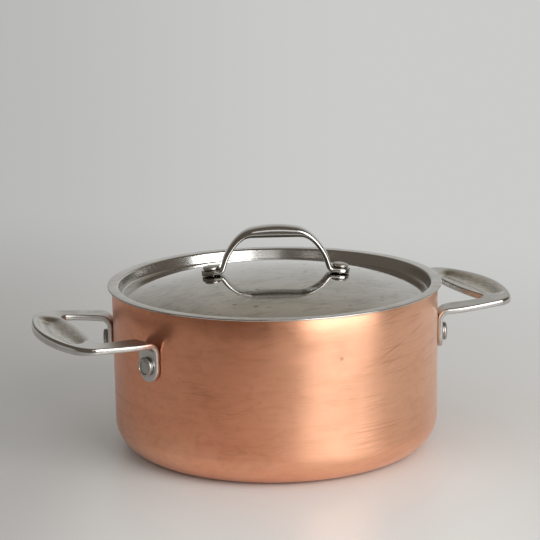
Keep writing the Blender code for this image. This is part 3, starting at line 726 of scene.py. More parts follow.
def arch_rungs(scene):
    """Rungs of half the arch, seen from the side, from the tab's end to the top.

    A rung holds its upper and lower point, its half width and how oval it is.
    """
    sizes = scene.lid_handle
    half_spacing = sizes.spacing / 2
    fall = math.asin(half_spacing / dome_sphere(scene))
    along = Vector((math.cos(fall), -math.sin(fall)))
    up = Vector((math.sin(fall), math.cos(fall)))
    seat = Vector((half_spacing, dome_height(scene, half_spacing))) + up * scene.pot_body.seat_gap
    lean = math.pi / 2 + sizes.leg_lean
    apex = Vector((0, lid_heights(scene)[1] + scene.pot_lid.dome_rise + sizes.top_height))
    tab = sizes.tab_radius

    rungs = []
    for out, width in round_end(tab):
        lower = seat + along * out
        rungs.append((lower + up * sizes.leg, lower, width, 0))
    foot = seat - along * (half_spacing - sizes.foot_spread / 2 - sizes.leg_bend)
    normal = Vector((math.cos(sizes.leg_lean), math.sin(sizes.leg_lean)))
    centre = foot + up * (sizes.leg + sizes.leg_bend)
    first, last = math.atan2(-up.y, -up.x), math.atan2(-normal.y, -normal.x)
    for step in range(BEND_STEPS + 1):
        angle = first + (last - first) * step / BEND_STEPS
        spoke = Vector((math.cos(angle), math.sin(angle)))
        rungs.append((centre + spoke * sizes.leg_bend, centre + spoke * (sizes.leg_bend + sizes.leg), tab,
                      LEG_OVAL_SHARE * smooth_share(step / BEND_STEPS)))

    corner_turn = math.pi / 2 + sizes.corner_lean
    corner = Vector((sizes.corner_spread / 2, apex.y - sizes.corner_height))
    corner_low = corner - Vector((math.cos(sizes.corner_lean), math.sin(sizes.corner_lean))) * sizes.leg
    flat = Vector((sizes.flat_spread / 2, apex.y - sizes.flat_drop))
    flat_low = Vector((sizes.under_spread / 2, apex.y - sizes.grip))
    flat_turn = math.pi - math.atan(2 * sizes.flat_drop / flat.x)
    uppers = join(curve(rungs[-1][0], lean, corner, corner_turn, LEG_STEPS),
                  curve(corner, corner_turn, flat, flat_turn, CORNER_STEPS),
                  curve(flat, flat_turn, apex, math.pi, ARCH_TOP_STEPS))
    lowers = join(curve(rungs[-1][1], lean, corner_low, corner_turn, LEG_STEPS),
                  curve(corner_low, corner_turn, flat_low, math.pi, CORNER_STEPS),
                  curve(flat_low, math.pi, apex - Vector((0, sizes.grip)), math.pi, ARCH_TOP_STEPS))
    for index in range(1, len(uppers)):
        share = smooth_share(index / (len(uppers) - 1))
        rungs.append((uppers[index], lowers[index], tab + (sizes.half_width - tab) * share,
                      LEG_OVAL_SHARE + (1 - LEG_OVAL_SHARE) * share))
    return rungs


def arch_handle(scene, name):
    """The lid's arch handle: its side view is bridged, mirrored, widened and rounded."""
    sizes = scene.lid_handle
    rungs = arch_rungs(scene)
    piece = start_line(name, [(rung[0].x, 0, rung[0].y) for rung in rungs])
    start_line(name, [(rung[1].x, 0, rung[1].y) for rung in rungs], piece)
    bpy.ops.mesh.select_all(action="SELECT")
    bpy.ops.mesh.bridge_edge_loops(number_cuts=1, interpolation="LINEAR")
    bpy.ops.mesh.select_all(action="SELECT")
    bpy.ops.mesh.normals_make_consistent(inside=False)
    bpy.ops.object.mode_set(mode="OBJECT")
    tree = KDTree(len(rungs) * 3)
    shares = []
    widest = sizes.half_width * (1 + sizes.oval / 2)
    for upper, lower, half, oval in rungs:
        for share, change in ((0, -sizes.oval), (0.5, sizes.oval / 2), (1, -sizes.oval)):
            place = upper.lerp(lower, share)
            tree.insert((place.x, 0, place.y), len(shares))
            shares.append(half * (1 + change * oval) / widest)
    tree.balance()
    width = piece.vertex_groups.new(name="width")
    for vertex in piece.data.vertices:
        width.add([vertex.index], shares[tree.find(vertex.co)[1]], "REPLACE")
    apply_modifier(piece, "mirror", "MIRROR", use_axis=(True, False, False), merge_threshold=NEAR)
    apply_modifier(piece, "bar", "SOLIDIFY", thickness=2 * widest, offset=0, vertex_group="width",
                   edge_crease_outer=sizes.edge_crease, edge_crease_inner=sizes.edge_crease)
    apply_modifier(piece, "round", "SUBSURF", levels=3, render_levels=3)
    piece.matrix_world = lid_handle_place(scene)
    return piece


# Rivets


def side_rivet_outline(scene):
    """Half outline of a side rivet along its own axis, from its head to its tail."""
    sizes = scene.pot_rivets
    grip = side_rivet_length(scene)
    top = grip + sizes.head_height
    ring, head = sizes.ring, sizes.head
    face = [(0, top - 4 * TENTH), (ring / 2, top - 4.8 * TENTH), (ring - 9 * TENTH, top - 8 * TENTH)]
    step = curve((ring - 6 * TENTH, top - 9 * TENTH), 0.1, (ring - TENTH, top - 2 * TENTH), 1.2, LIP_STEPS)
    lip = curve((ring + TENTH, top - TENTH), 0.3, (ring + 6 * TENTH, top - 2 * TENTH), -0.7, LIP_STEPS)
    shoulder = curve((ring + 7 * TENTH, top - 3 * TENTH), -0.9, (head, top - 16 * TENTH),
                     -math.radians(86), RIVET_EDGE_STEPS)
    foot = [(head, grip + 12 * TENTH), (head - 5 * TENTH, grip + 3 * TENTH), (head - 4 * TENTH, grip),
            (sizes.shank, grip), (sizes.shank, 0), (sizes.tail - 2 * TENTH, 0)]
    tail = curve((sizes.tail, -3 * TENTH), -math.radians(95), (0, -sizes.tail_height), math.pi,
                 RIVET_TAIL_STEPS)
    return [*face, *step, *lip, *shoulder, *foot, *tail]


def side_rivet_inside(scene):
    """Distance from the pot's axis to a side rivet's seat inside the lining."""
    sizes = scene.pot_rivets
    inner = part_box("steel_lining")[1].x - sizes.tail_seat
    return inner - scene.pot_body.seat_gap - sizes.tail ** 2 / (2 * inner)


def side_rivet_length(scene):
    """Length that a side rivet grips, from inside the lining to the tab's outer face."""
    body = scene.pot_body
    outside = body.radius + 2 * body.seat_gap + scene.side_handle.tab_thickness
    return outside - side_rivet_inside(scene)


def lid_rivet_outline(scene):
    """Half outline of a lid rivet along its own axis, from its head to its tail."""
    sizes = scene.pot_rivets
    grip = scene.pot_lid.sheet + scene.lid_handle.leg + 3 * scene.pot_body.seat_gap
    top, head = grip + sizes.lid_head_height, sizes.lid_head
    face = [(0, top), (head * 0.4, top - 0.6 * TENTH), (head * 0.62, top - 2 * TENTH)]
    edge = curve((head * 0.76, top - 3.8 * TENTH), -0.24, (head, top - 14 * TENTH), -math.radians(84),
                 RIVET_EDGE_STEPS)
    foot = [(head, grip + 8 * TENTH), (head - 2 * TENTH, grip + 2 * TENTH), (head - 5 * TENTH, grip),
            (sizes.lid_shank, grip), (sizes.lid_shank, 0), (head - 2 * TENTH, 0)]
    tail = curve((head, -3 * TENTH), -math.radians(95), (0, -sizes.lid_tail_height), math.pi,
                 RIVET_TAIL_STEPS)
    return [*face, *edge, *foot, *tail]


# Nodes


def fill(tree, socket, value):
    """Links an input to another socket, or gives it a value."""
    if isinstance(value, bpy.types.NodeSocket):
        tree.links.new(value, socket)
    else:
        socket.default_value = value


def add_node(tree, kind, inputs=None, **settings):
    """Adds a node, sets its options and fills its inputs with values or links."""
    node = tree.nodes.new(kind)
    for key, value in settings.items():
        setattr(node, key, value)
    for key, value in (inputs or {}).items():
        fill(tree, node.inputs[key], value)
    return node


def maths(tree, operation, first, second=0.0, clamp=False):
    """One sum on two values or sockets."""
    node = add_node(tree, "ShaderNodeMath", {0: first, 1: second}, operation=operation, use_clamp=clamp)
    return node.outputs[0]


def product(tree, first, *others):
    """Several values or sockets multiplied."""
    for other in others:
        first = maths(tree, "MULTIPLY", first, other)
    return first


def weighed(tree, *terms, start=0.0, clamp=False):
    """A starting value and several others, each times its weight, added up."""
    for value, weight in terms:
        start = maths(tree, "ADD", start, maths(tree, "MULTIPLY", value, weight), clamp=clamp)
    return start


def remap(tree, value, low, high, out_low=0.0, out_high=1.0):
    """Stretches a value smoothly from one range to another, held at its ends."""
    return add_node(tree, "ShaderNodeMapRange", {
        "Value": value, "From Min": low, "From Max": high, "To Min": out_low, "To Max": out_high},
        interpolation_type="SMOOTHSTEP").outputs[0]


def blend_colours(tree, factor, first, second):
    """Mixes two colours by a factor."""
    return add_node(tree, "ShaderNodeMix", {0: factor, 6: first, 7: second}, data_type="RGBA").outputs[2]


def noise(tree, place, scale, detail, roughness=0.5, distortion=0.0):
    """A cloudy value that changes over the surface."""
    return add_node(tree, "ShaderNodeTexNoise", {
        "Vector": place, "Scale": scale, "Detail": detail, "Roughness": roughness,
        "Distortion": distortion}).outputs[0]


def stretch(tree, place, scale, rotation=(0.0, 0.0, 0.0)):
    """Coordinates scaled and turned, so that a pattern on them runs long or slants."""
    return add_node(tree, "ShaderNodeMapping", {
        "Vector": place, "Rotation": rotation, "Scale": scale}).outputs[0]


def split(tree, place):
    """The three parts of a place."""
    return add_node(tree, "ShaderNodeSeparateXYZ", {0: place}).outputs


def reach_along(tree, place, direction):
    """How far a place lies along a direction."""
    return add_node(tree, "ShaderNodeVectorMath", {0: place, 1: direction},
                    operation="DOT_PRODUCT").outputs["Value"]


def axis_distance(tree, parts):
    """Distance of a place, given in its parts, from the pot's axis."""
    return maths(tree, "SQRT", weighed(tree, (parts[1], parts[1]), start=product(tree, parts[0], parts[0])))


def shaded(colour, *shares):
    """A colour times one share, or times a share for each of its channels."""
    shares = shares * 3 if len(shares) == 1 else shares
    return tuple(value * share for value, share in zip(colour[:3], shares)) + (1,)


def colour_steps(tree, value, steps):
    """A colour that changes smoothly through named places of a value."""
    ramp = add_node(tree, "ShaderNodeValToRGB", {0: value})
    elements = ramp.color_ramp.elements
    elements[0].position, elements[1].position = steps[0][0], steps[-1][0]
    for place, _ in steps[1:-1]:
        elements.new(place)
    for element, (_, colour) in zip(elements, steps):
        element.color = (*colour, 1)
    return ramp.outputs[0]


# Node groups for marks that several metals share


def new_group(name, inputs, outputs):
    """An empty shader node group. An input without a default is a vector, and all others are values."""
    group = bpy.data.node_groups.new(name, "ShaderNodeTree")
    for label, default in inputs.items():
        kind = "NodeSocketVector" if default is None else "NodeSocketFloat"
        socket = group.interface.new_socket(name=label, in_out="INPUT", socket_type=kind)
        if default is not None:
            socket.default_value = default
    for label in outputs:
        group.interface.new_socket(name=label, in_out="OUTPUT", socket_type="NodeSocketFloat")
    return group, group.nodes.new("NodeGroupInput").outputs, group.nodes.new("NodeGroupOutput").inputs


def use_group(tree, group, **inputs):
    """Places a node group in a material, with its own values."""
    node = add_node(tree, "ShaderNodeGroup", node_tree=group)
    for key, value in inputs.items():
        fill(tree, node.inputs[key.capitalize()], value)
    return node.outputs


def turned_lines_group():
    """Fine lines that run round a turned piece, up its wall and out over its dome alike.

    Lean slants them along a direction, and Wander makes them drift up and down. Bands are the
    same lines made broad.
    """
    name = "turned_lines"
    if name in bpy.data.node_groups:
        return bpy.data.node_groups[name]
    group, inputs, outputs = new_group(name, {
        "Vector": None, "Around": 9.0, "Across": 900.0, "Lean": None, "Wander": 0.0}, ["Lines", "Bands"])
    parts = split(group, inputs["Vector"])
    slant = reach_along(group, inputs["Vector"], inputs["Lean"])
    drift = maths(group, "SUBTRACT", noise(group, inputs["Vector"], 9.0, 1.0), 0.5)
    profile = maths(group, "ADD", axis_distance(group, parts), parts[2])
    profile = maths(group, "ADD", profile, weighed(group, (drift, inputs["Wander"]), start=slant))
    around = [product(group, part, inputs["Around"]) for part in parts[:2]]
    for label, share, detail in (("Lines", 1.0, 4.0), ("Bands", 0.12, 2.0)):
        place = add_node(group, "ShaderNodeCombineXYZ", {
            0: around[0], 1: around[1], 2: product(group, inputs["Across"], share, profile)}).outputs[0]
        lines = noise(group, place, 1.0, detail, roughness=0.65)
        fill(group, outputs[label], remap(group, lines, 0.28, 0.72))
    return group


def smudges_group():
    """Cloudy patches where hands and cloths have touched the metal."""
    name = "smudges"
    if name in bpy.data.node_groups:
        return bpy.data.node_groups[name]
    group, inputs, outputs = new_group(name, {"Vector": None, "Scale": 20.0, "Warp": 0.6},
                                       ["Clouds", "Wipes"])
    clouds = noise(group, inputs["Vector"], inputs["Scale"], 5.0, roughness=0.55, distortion=inputs["Warp"])
    fill(group, outputs["Clouds"], remap(group, clouds, 0.38, 0.68))
    turned = stretch(group, inputs["Vector"], (1.0, 3.4, 5.2), (0.5, 0.3, 0.6))
    wipes = noise(group, turned, inputs["Scale"], 4.0, roughness=0.6, distortion=1.2)
    fill(group, outputs["Wipes"], remap(group, wipes, 0.45, 0.72))
    return group


def strokes_group():
    """Long thin strokes left by wiping and scouring, each fading out at its ends."""
    name = "strokes"
    if name in bpy.data.node_groups:
        return bpy.data.node_groups[name]
    group, inputs, outputs = new_group(name, {
        "Vector": None, "Lean": None, "Around": 14.0, "Across": 420.0, "Wander": 0.02, "Amount": 0.5},
        ["Mask"])
    lines = use_group(group, turned_lines_group(), vector=inputs["Vector"], lean=inputs["Lean"],
                      around=inputs["Around"], across=inputs["Across"], wander=inputs["Wander"])
    least = maths(group, "SUBTRACT", 0.72, product(group, inputs["Amount"], 0.4))
    kept = add_node(group, "ShaderNodeMapRange", {
        "Value": noise(group, inputs["Vector"], 21.0, 2.0), "From Min": least,
        "From Max": maths(group, "ADD", least, 0.16)}).outputs[0]
    fill(group, outputs["Mask"], product(group, remap(group, lines["Lines"], 0.66, 0.98), kept))
    return group


def specks_group():
    """Small scattered spots, such as dried drops and nicks."""
    name = "specks"
    if name in bpy.data.node_groups:
        return bpy.data.node_groups[name]
    group, inputs, outputs = new_group(name, {"Vector": None, "Scale": 120.0, "Size": 0.25, "Share": 0.2},
                                       ["Mask"])
    wander = add_node(group, "ShaderNodeTexNoise", {
        "Vector": inputs["Vector"], "Scale": inputs["Scale"], "Detail": 1.0}).outputs[1]
    wander = add_node(group, "ShaderNodeVectorMath", {0: wander, "Scale": 0.002}, operation="SCALE")
    place = add_node(group, "ShaderNodeVectorMath", {0: inputs["Vector"], 1: wander.outputs[0]},
                     operation="ADD").outputs[0]
    cells = add_node(group, "ShaderNodeTexVoronoi", {"Vector": place, "Scale": inputs["Scale"]}).outputs
    spot = remap(group, cells["Distance"], inputs["Size"], product(group, inputs["Size"], 0.4))
    pick = add_node(group, "ShaderNodeSeparateColor", {0: cells["Color"]}).outputs[0]
    chosen = maths(group, "LESS_THAN", pick, inputs["Share"])
    fill(group, outputs["Mask"], product(group, spot, chosen))
    return group


# Metals


def new_metal(name):
    """An empty metal: its tree, its shader and the piece's own coordinates."""
    material = bpy.data.materials.new(name)
    material.use_nodes = True
    tree = material.node_tree
    shader = tree.nodes["Principled BSDF"]
    shader.inputs["Metallic"].default_value = 1
    return material, tree, shader, tree.nodes.new("ShaderNodeTexCoord").outputs["Object"]


def finish_metal(tree, shader, colour, rough, height, strength, distance=0.0002):
    """Gives a metal its colour, its roughness and its fine relief."""
    relief = add_node(tree, "ShaderNodeBump", {"Height": height, "Strength": strength, "Distance": distance})
    for label, value in (("Base Color", colour), ("Roughness", rough), ("Normal", relief.outputs[0])):
        fill(tree, shader.inputs[label], value)


def copper_metal(scene):
    """Brushed copper with darkened patches, wiping strokes, scratches and small nicks, and painted light that
    makes one side and the foot paler.
    """
    if "brushed_copper" in bpy.data.materials:
        return bpy.data.materials["brushed_copper"]
    colours = scene.pot_finish
    material, tree, shader, place = new_metal("brushed_copper")
    for label, value in (("Anisotropic", colours.brushing), ("Anisotropic Rotation", 0.25),
                         ("Sheen Weight", colours.haze), ("Sheen Roughness", 0.5),
                         ("Sheen Tint", colours.copper_haze)):
        shader.inputs[label].default_value = value
    aside = Vector((math.cos(colours.painted_light_turn), math.sin(colours.painted_light_turn), 0))
    lines = use_group(tree, turned_lines_group(), vector=place, around=9.0, across=1500.0, wander=0.002)
    clouds = use_group(tree, smudges_group(), vector=place, scale=11.0, warp=0.9)
    small = use_group(tree, smudges_group(), vector=place, scale=30.0, warp=1.2)
    level = use_group(tree, strokes_group(), vector=place, around=5.0, across=900.0, wander=0.006,
                      amount=0.55)["Mask"]
    rising = use_group(tree, strokes_group(), vector=place, lean=-0.2 * aside, around=3.5, across=620.0,
                       wander=0.035, amount=0.55)["Mask"]
    steep = use_group(tree, strokes_group(), vector=place, lean=-0.42 * aside, around=5.0, across=900.0,
                      wander=0.04, amount=0.42)["Mask"]
    nicks = use_group(tree, specks_group(), vector=place, scale=62.0, size=0.12, share=0.05)["Mask"]
    rust = use_group(tree, specks_group(), vector=stretch(tree, place, (0.5, 0.5, 1.6)), scale=36.0,
                     size=0.2, share=0.07)["Mask"]

    # One side has painted light that makes it paler, and more scratches; the foot has a painted reflection of
    # the floor that makes it pale all round
    painted_lit = remap(tree, reach_along(tree, place, aside), -0.035, 0.05)
    scratched = weighed(tree, (painted_lit, 0.6), start=0.4)
    rising, steep = product(tree, rising, scratched), product(tree, steep, scratched)
    # Painted reflection of the bright floor makes the copper paler low on the foot
    low = remap(tree, split(tree, place)[2], 0.044, 0.010, 0.0, 0.75)
    painted_lit = maths(tree, "MAXIMUM", painted_lit, weighed(tree, (small["Clouds"], -0.3), start=low))

    shade = weighed(tree, (clouds["Clouds"], 0.42), (small["Wipes"], 0.36), (lines["Bands"], 0.16),
                    (rising, 0.8), clamp=True)
    marks = weighed(tree, (steep, 0.5), (level, 0.42), (nicks, 0.55), (rust, 0.5), clamp=True)
    clean_with_painted_light = blend_colours(tree, painted_lit, colours.copper, colours.copper_painted_lit)
    painted_lit_dull = Vector(colours.copper_dull).lerp(Vector(colours.copper_painted_lit), 0.55)
    dull = blend_colours(tree, painted_lit, colours.copper_dull, painted_lit_dull)
    colour = blend_colours(tree, marks, blend_colours(tree, shade, clean_with_painted_light, dull), colours.copper_mark)
    rough = weighed(tree, (lines["Lines"], 0.05), (small["Clouds"], 0.06), (marks, 0.15), start=0.27)
    height = weighed(tree, (lines["Lines"], 0.35), (lines["Bands"], 0.25), (rising, -0.3), (marks, -0.6))
    finish_metal(tree, shader, colour, rough, height, 0.22)
    return material


def lining_metal(scene):
    """Satin steel lining with rings from polishing and a few darker stains."""
    if "satin_lining" in bpy.data.materials:
        return bpy.data.materials["satin_lining"]
    material, tree, shader, place = new_metal("satin_lining")
    base = scene.pot_finish.lining
    lines = use_group(tree, turned_lines_group(), vector=place, around=7.0, across=1100.0)
    clouds = use_group(tree, smudges_group(), vector=place, scale=14.0, warp=1.0)
    colour = blend_colours(tree, product(tree, clouds["Clouds"], 0.35), base,
                           shaded(base, 0.80, 0.77, 0.71))
    rough = weighed(tree, (lines["Lines"], 0.10), (clouds["Wipes"], 0.06), start=0.30)
    height = maths(tree, "ADD", lines["Lines"], lines["Bands"])
    finish_metal(tree, shader, colour, rough, height, 0.16)
    return material


def lid_metal(scene):
    """Lid steel: a satin flange, a bright sunk wall and a polished dome with dried drops."""
    if "pressed_lid" in bpy.data.materials:
        return bpy.data.materials["pressed_lid"]
    colours, sizes = scene.pot_finish, scene.pot_lid
    material, tree, shader, place = new_metal("pressed_lid")
    radius = axis_distance(tree, split(tree, place))
    foot = sizes.recess_radius - sizes.recess_draft
    flange = remap(tree, radius, sizes.recess_radius, sizes.recess_radius + 0.001)
    dome = remap(tree, radius, foot - 0.0005, foot - 0.002)
    wall = maths(tree, "SUBTRACT", 1.0, maths(tree, "MAXIMUM", flange, dome))
    lines = use_group(tree, turned_lines_group(), vector=place, around=8.0, across=1300.0)
    clouds = use_group(tree, smudges_group(), vector=place, scale=17.0, warp=1.2)
    fine = use_group(tree, smudges_group(), vector=place, scale=52.0, warp=2.0)
    drops = use_group(tree, specks_group(), vector=stretch(tree, place, (0.55, 1.0, 1.0), (0.0, 0.0, 0.39)),
                      scale=190.0, size=0.27, share=0.45)["Mask"]

    film = weighed(tree, (clouds["Clouds"], 0.5), (fine["Wipes"], 0.5))
    film = product(tree, film, maths(tree, "MAXIMUM", dome, product(tree, flange, 0.7)))
    wet = product(tree, drops, weighed(tree, (clouds["Clouds"], 0.65), start=0.35), dome)
    colour = blend_colours(tree, film, colours.lid, colours.lid_film)
    colour = blend_colours(tree, product(tree, wet, 0.75), colour, colours.lid_drops)
    rough = weighed(tree, (flange, 0.14), (wall, 0.15), (film, 0.10), (wet, 0.25), start=0.05)
    height = weighed(tree, (lines["Lines"], flange), (wet, 0.3))
    finish_metal(tree, shader, colour, rough, height, 0.10)
    return material


def handle_metal(scene):
    """Polished handle steel with faint fingermarks, hairline scratches and brushed hollows darkened with
    painted shade.
    """
    if "polished_handle" in bpy.data.materials:
        return bpy.data.materials["polished_handle"]
    colours, sizes, wall = scene.pot_finish, scene.side_handle, scene.pot_body.radius
    material, tree, shader, place = new_metal("polished_handle")
    clouds = use_group(tree, smudges_group(), vector=place, scale=38.0, warp=1.4)
    hair = use_group(tree, strokes_group(), vector=stretch(tree, place, (1.0, 0.25, 1.0)), around=60.0,
                     across=2600.0, wander=0.01, amount=0.5)["Mask"]

    # An oval over each grip, which is 1 at the hollow's edge, holds the brushing and the painted shade
    half_width, half_length = 0.0125, sizes.dish_start - 0.001
    middle = wall + sizes.reach - sizes.grip_width / 2
    parts = split(tree, place)
    outward = maths(tree, "ABSOLUTE", parts[0])
    across = maths(tree, "DIVIDE", maths(tree, "SUBTRACT", outward, middle), half_width)
    length = maths(tree, "DIVIDE", parts[1], half_length)
    oval = weighed(tree, (length, length), start=product(tree, across, across))
    hollow = remap(tree, oval, 1.08, 0.86)
    grain = noise(tree, stretch(tree, place, (1100.0, 130.0, 60.0), (0.0, 0.0, 0.35)), 1.0, 3.0)
    grain = product(tree, remap(tree, grain, 0.3, 0.7), hollow)

    colour = blend_colours(tree, product(tree, clouds["Clouds"], 0.6), colours.handle,
                           shaded(colours.handle, 0.80, 0.79, 0.77))
    # The brushed grain is real; the darker hollow under it is painted shade
    brushed = blend_colours(tree, grain, colours.handle_dish_painted_shade, shaded(colours.handle_dish_painted_shade, 1.5))
    colour = blend_colours(tree, hollow, colour, brushed)

    # The arms and tabs are less polished near the wall
    root = product(tree, remap(tree, outward, 0.10, 0.11), remap(tree, outward, wall + 0.045, wall + 0.028))
    rough = weighed(tree, (clouds["Clouds"], 0.07), (root, 0.22), (hair, 0.08), (hollow, 0.09), start=0.06)
    height = weighed(tree, (clouds["Wipes"], 0.1), start=grain)
    finish_metal(tree, shader, colour, rough, height, 0.08, distance=0.0001)
    return material


def rivet_metal(scene):
    """Satin rivet steel, peened and a little dirty. The lid's rivets, over the rim, have painted light that
    makes them paler.
    """
    if "satin_rivet" in bpy.data.materials:
        return bpy.data.materials["satin_rivet"]
    base, rim = scene.pot_finish.rivet, scene.pot_body.height
    material, tree, shader, place = new_metal("satin_rivet")
    clouds = use_group(tree, smudges_group(), vector=place, scale=120.0, warp=1.0)
    # Painted light: rivet heads on the lid, which face up, are painted paler than the side rivets
    on_lid = remap(tree, split(tree, place)[2], rim - 0.015, rim - 0.005)
    clean_with_painted_light = blend_colours(tree, on_lid, base, shaded(base, 1.35))
    colour = blend_colours(tree, product(tree, clouds["Clouds"], 0.7), clean_with_painted_light,
                           shaded(base, 0.62, 0.60, 0.57))
    rough = weighed(tree, (clouds["Wipes"], 0.16), start=0.32)
    finish_metal(tree, shader, colour, rough, noise(tree, place, 420.0, 3.0), 0.3)
    return material


# Operators


class POT_OT_copper_body(bpy.types.Operator):
    """Spins the copper body with its rounded foot and gives it its wall"""

    bl_idname = "pot.copper_body"
    bl_label = "Copper body"

    def execute(self, context):
        sizes = context.scene.pot_body
        piece = spin_sheet("copper_body", body_outline(sizes, 0), sizes.steps, sizes.copper, sizes.rim_round)
        finish_piece(piece, copper_metal(context.scene), "pot", "copper_shell")
        return {"FINISHED"}


class POT_OT_lining(bpy.types.Operator):
    """Spins the steel lining inside the copper"""

    bl_idname = "pot.lining"
    bl_label = "Steel lining"

    def execute(self, context):
        sizes = context.scene.pot_body
        outline = body_outline(sizes, sizes.copper + sizes.bond_gap)
        piece = spin_sheet("lining", outline, sizes.steps, sizes.lining, sizes.rim_round)
        finish_piece(piece, lining_metal(context.scene), "pot", "steel_lining")
        return {"FINISHED"}


class POT_OT_side_handles(bpy.types.Operator):
    """Models the two dished side handles, each with its own tilt"""

    bl_idname = "pot.side_handles"
    bl_label = "Side handles"

    def execute(self, context):
        scene = context.scene
        for side, turn, tilt in (("right", 0, scene.side_handle.right_tilt),
                                 ("left", math.pi, scene.side_handle.left_tilt)):
            piece = side_handle(scene, side + "_loop", tilt)
            piece.matrix_world = Matrix.Rotation(turn, 4, "Z")
            finish_piece(piece, handle_metal(scene), "pot", side + "_handle",
                         HANDLE_BROKEN_ANGLE)
        return {"FINISHED"}


class POT_OT_side_rivets(bpy.types.Operator):
    """Turns one side rivet and copies it to its four places"""

    bl_idname = "pot.side_rivets"
    bl_label = "Side rivets"

    def execute(self, context):
        scene = context.scene
        turn = rivet_turn(scene)
        height = scene.pot_body.height - scene.side_handle.rivet_drop
        first = spin_outline("side_rivet", side_rivet_outline(scene), scene.pot_rivets.steps)
        for name, angle in (("right_rivet_front", -turn), ("right_rivet_back", turn),
                            ("left_rivet_front", math.pi + turn), ("left_rivet_back", math.pi - turn)):
            place = (Matrix.Rotation(angle, 4, "Z")
                     @ Matrix.Translation((side_rivet_inside(scene), 0, height))
                     @ Matrix.Rotation(math.pi / 2, 4, "Y"))
            piece = copy_piece(first, name + "_head", place)
            finish_piece(piece, rivet_metal(scene), "pot", name)
        bpy.data.objects.remove(first)
        return {"FINISHED"}


class POT_OT_lid_sheet(bpy.types.Operator):
    """Spins the pressed lid with its flange, sunk wall and dome"""

    bl_idname = "pot.lid_sheet"
    bl_label = "Lid sheet"

    def execute(self, context):
        scene = context.scene
        sizes = scene.pot_lid
        piece = spin_sheet("lid_sheet", lid_outline(scene), scene.pot_body.steps, sizes.sheet,
                           sizes.edge_round)
        finish_piece(piece, lid_metal(scene), "lid", "lid_shell")
        return {"FINISHED"}


class POT_OT_lid_arch(bpy.types.Operator):
    """Models the arch handle of the lid"""

    bl_idname = "pot.lid_arch"
    bl_label = "Lid handle"

    def execute(self, context):
        piece = arch_handle(context.scene, "lid_arch")
        finish_piece(piece, handle_metal(context.scene), "lid", "lid_handle",
                     HANDLE_BROKEN_ANGLE)
        return {"FINISHED"}


class POT_OT_lid_rivets(bpy.types.Operator):
    """Turns one lid rivet and copies it to its two places"""

    bl_idname = "pot.lid_rivets"
    bl_label = "Lid rivets"

    def execute(self, context):
        scene = context.scene
        half_spacing = scene.lid_handle.spacing / 2
        fall = math.asin(half_spacing / dome_sphere(scene))
        inside = -scene.pot_lid.sheet - scene.pot_body.seat_gap
        first = spin_outline("lid_rivet", lid_rivet_outline(scene), scene.pot_rivets.steps)
        for name, turn in (("lid_rivet_right", 0), ("lid_rivet_left", math.pi)):
            place = (lid_handle_place(scene) @ Matrix.Rotation(turn, 4, "Z")
                     @ Matrix.Translation((half_spacing, 0, dome_height(scene, half_spacing)))
                     @ Matrix.Rotation(fall, 4, "Y") @ Matrix.Translation((0, 0, inside)))
            piece = copy_piece(first, name + "_head", place)
            finish_piece(piece, rivet_metal(scene), "lid", name)
        bpy.data.objects.remove(first)
        return {"FINISHED"}


class POT_OT_stage(bpy.types.Operator):
    """Lays the floor and sets the lights and the camera"""

    bl_idname = "pot.stage"
    bl_label = "Stage"

    def execute(self, context):
        scene = context.scene
        settings = scene.pot_stage
        make_floor(settings)
        make_world(scene)
        add_soft_light("main_light", power=settings.key, size=(1.2, 1.3), distance=1.35, height=0.71,
                       turn=settings.key_turn - settings.azimuth)
        add_soft_light("fill_light", power=settings.fill, size=(0.9, 0.7), distance=1.5, height=0.1,
                       turn=settings.fill_turn - settings.azimuth, rise=settings.fill_rise)
        make_camera(scene, settings)
        scene.view_settings.view_transform = "Standard"
        return {"FINISHED"}


def glow_over(tree, factor, surface, colour):
    """Mixes an evenly lit colour over a surface."""
    glow = add_node(tree, "ShaderNodeEmission", {"Color": colour, "Strength": 1.0}).outputs[0]
    return add_node(tree, "ShaderNodeMixShader", {0: factor, 1: surface, 2: glow}).outputs[0]


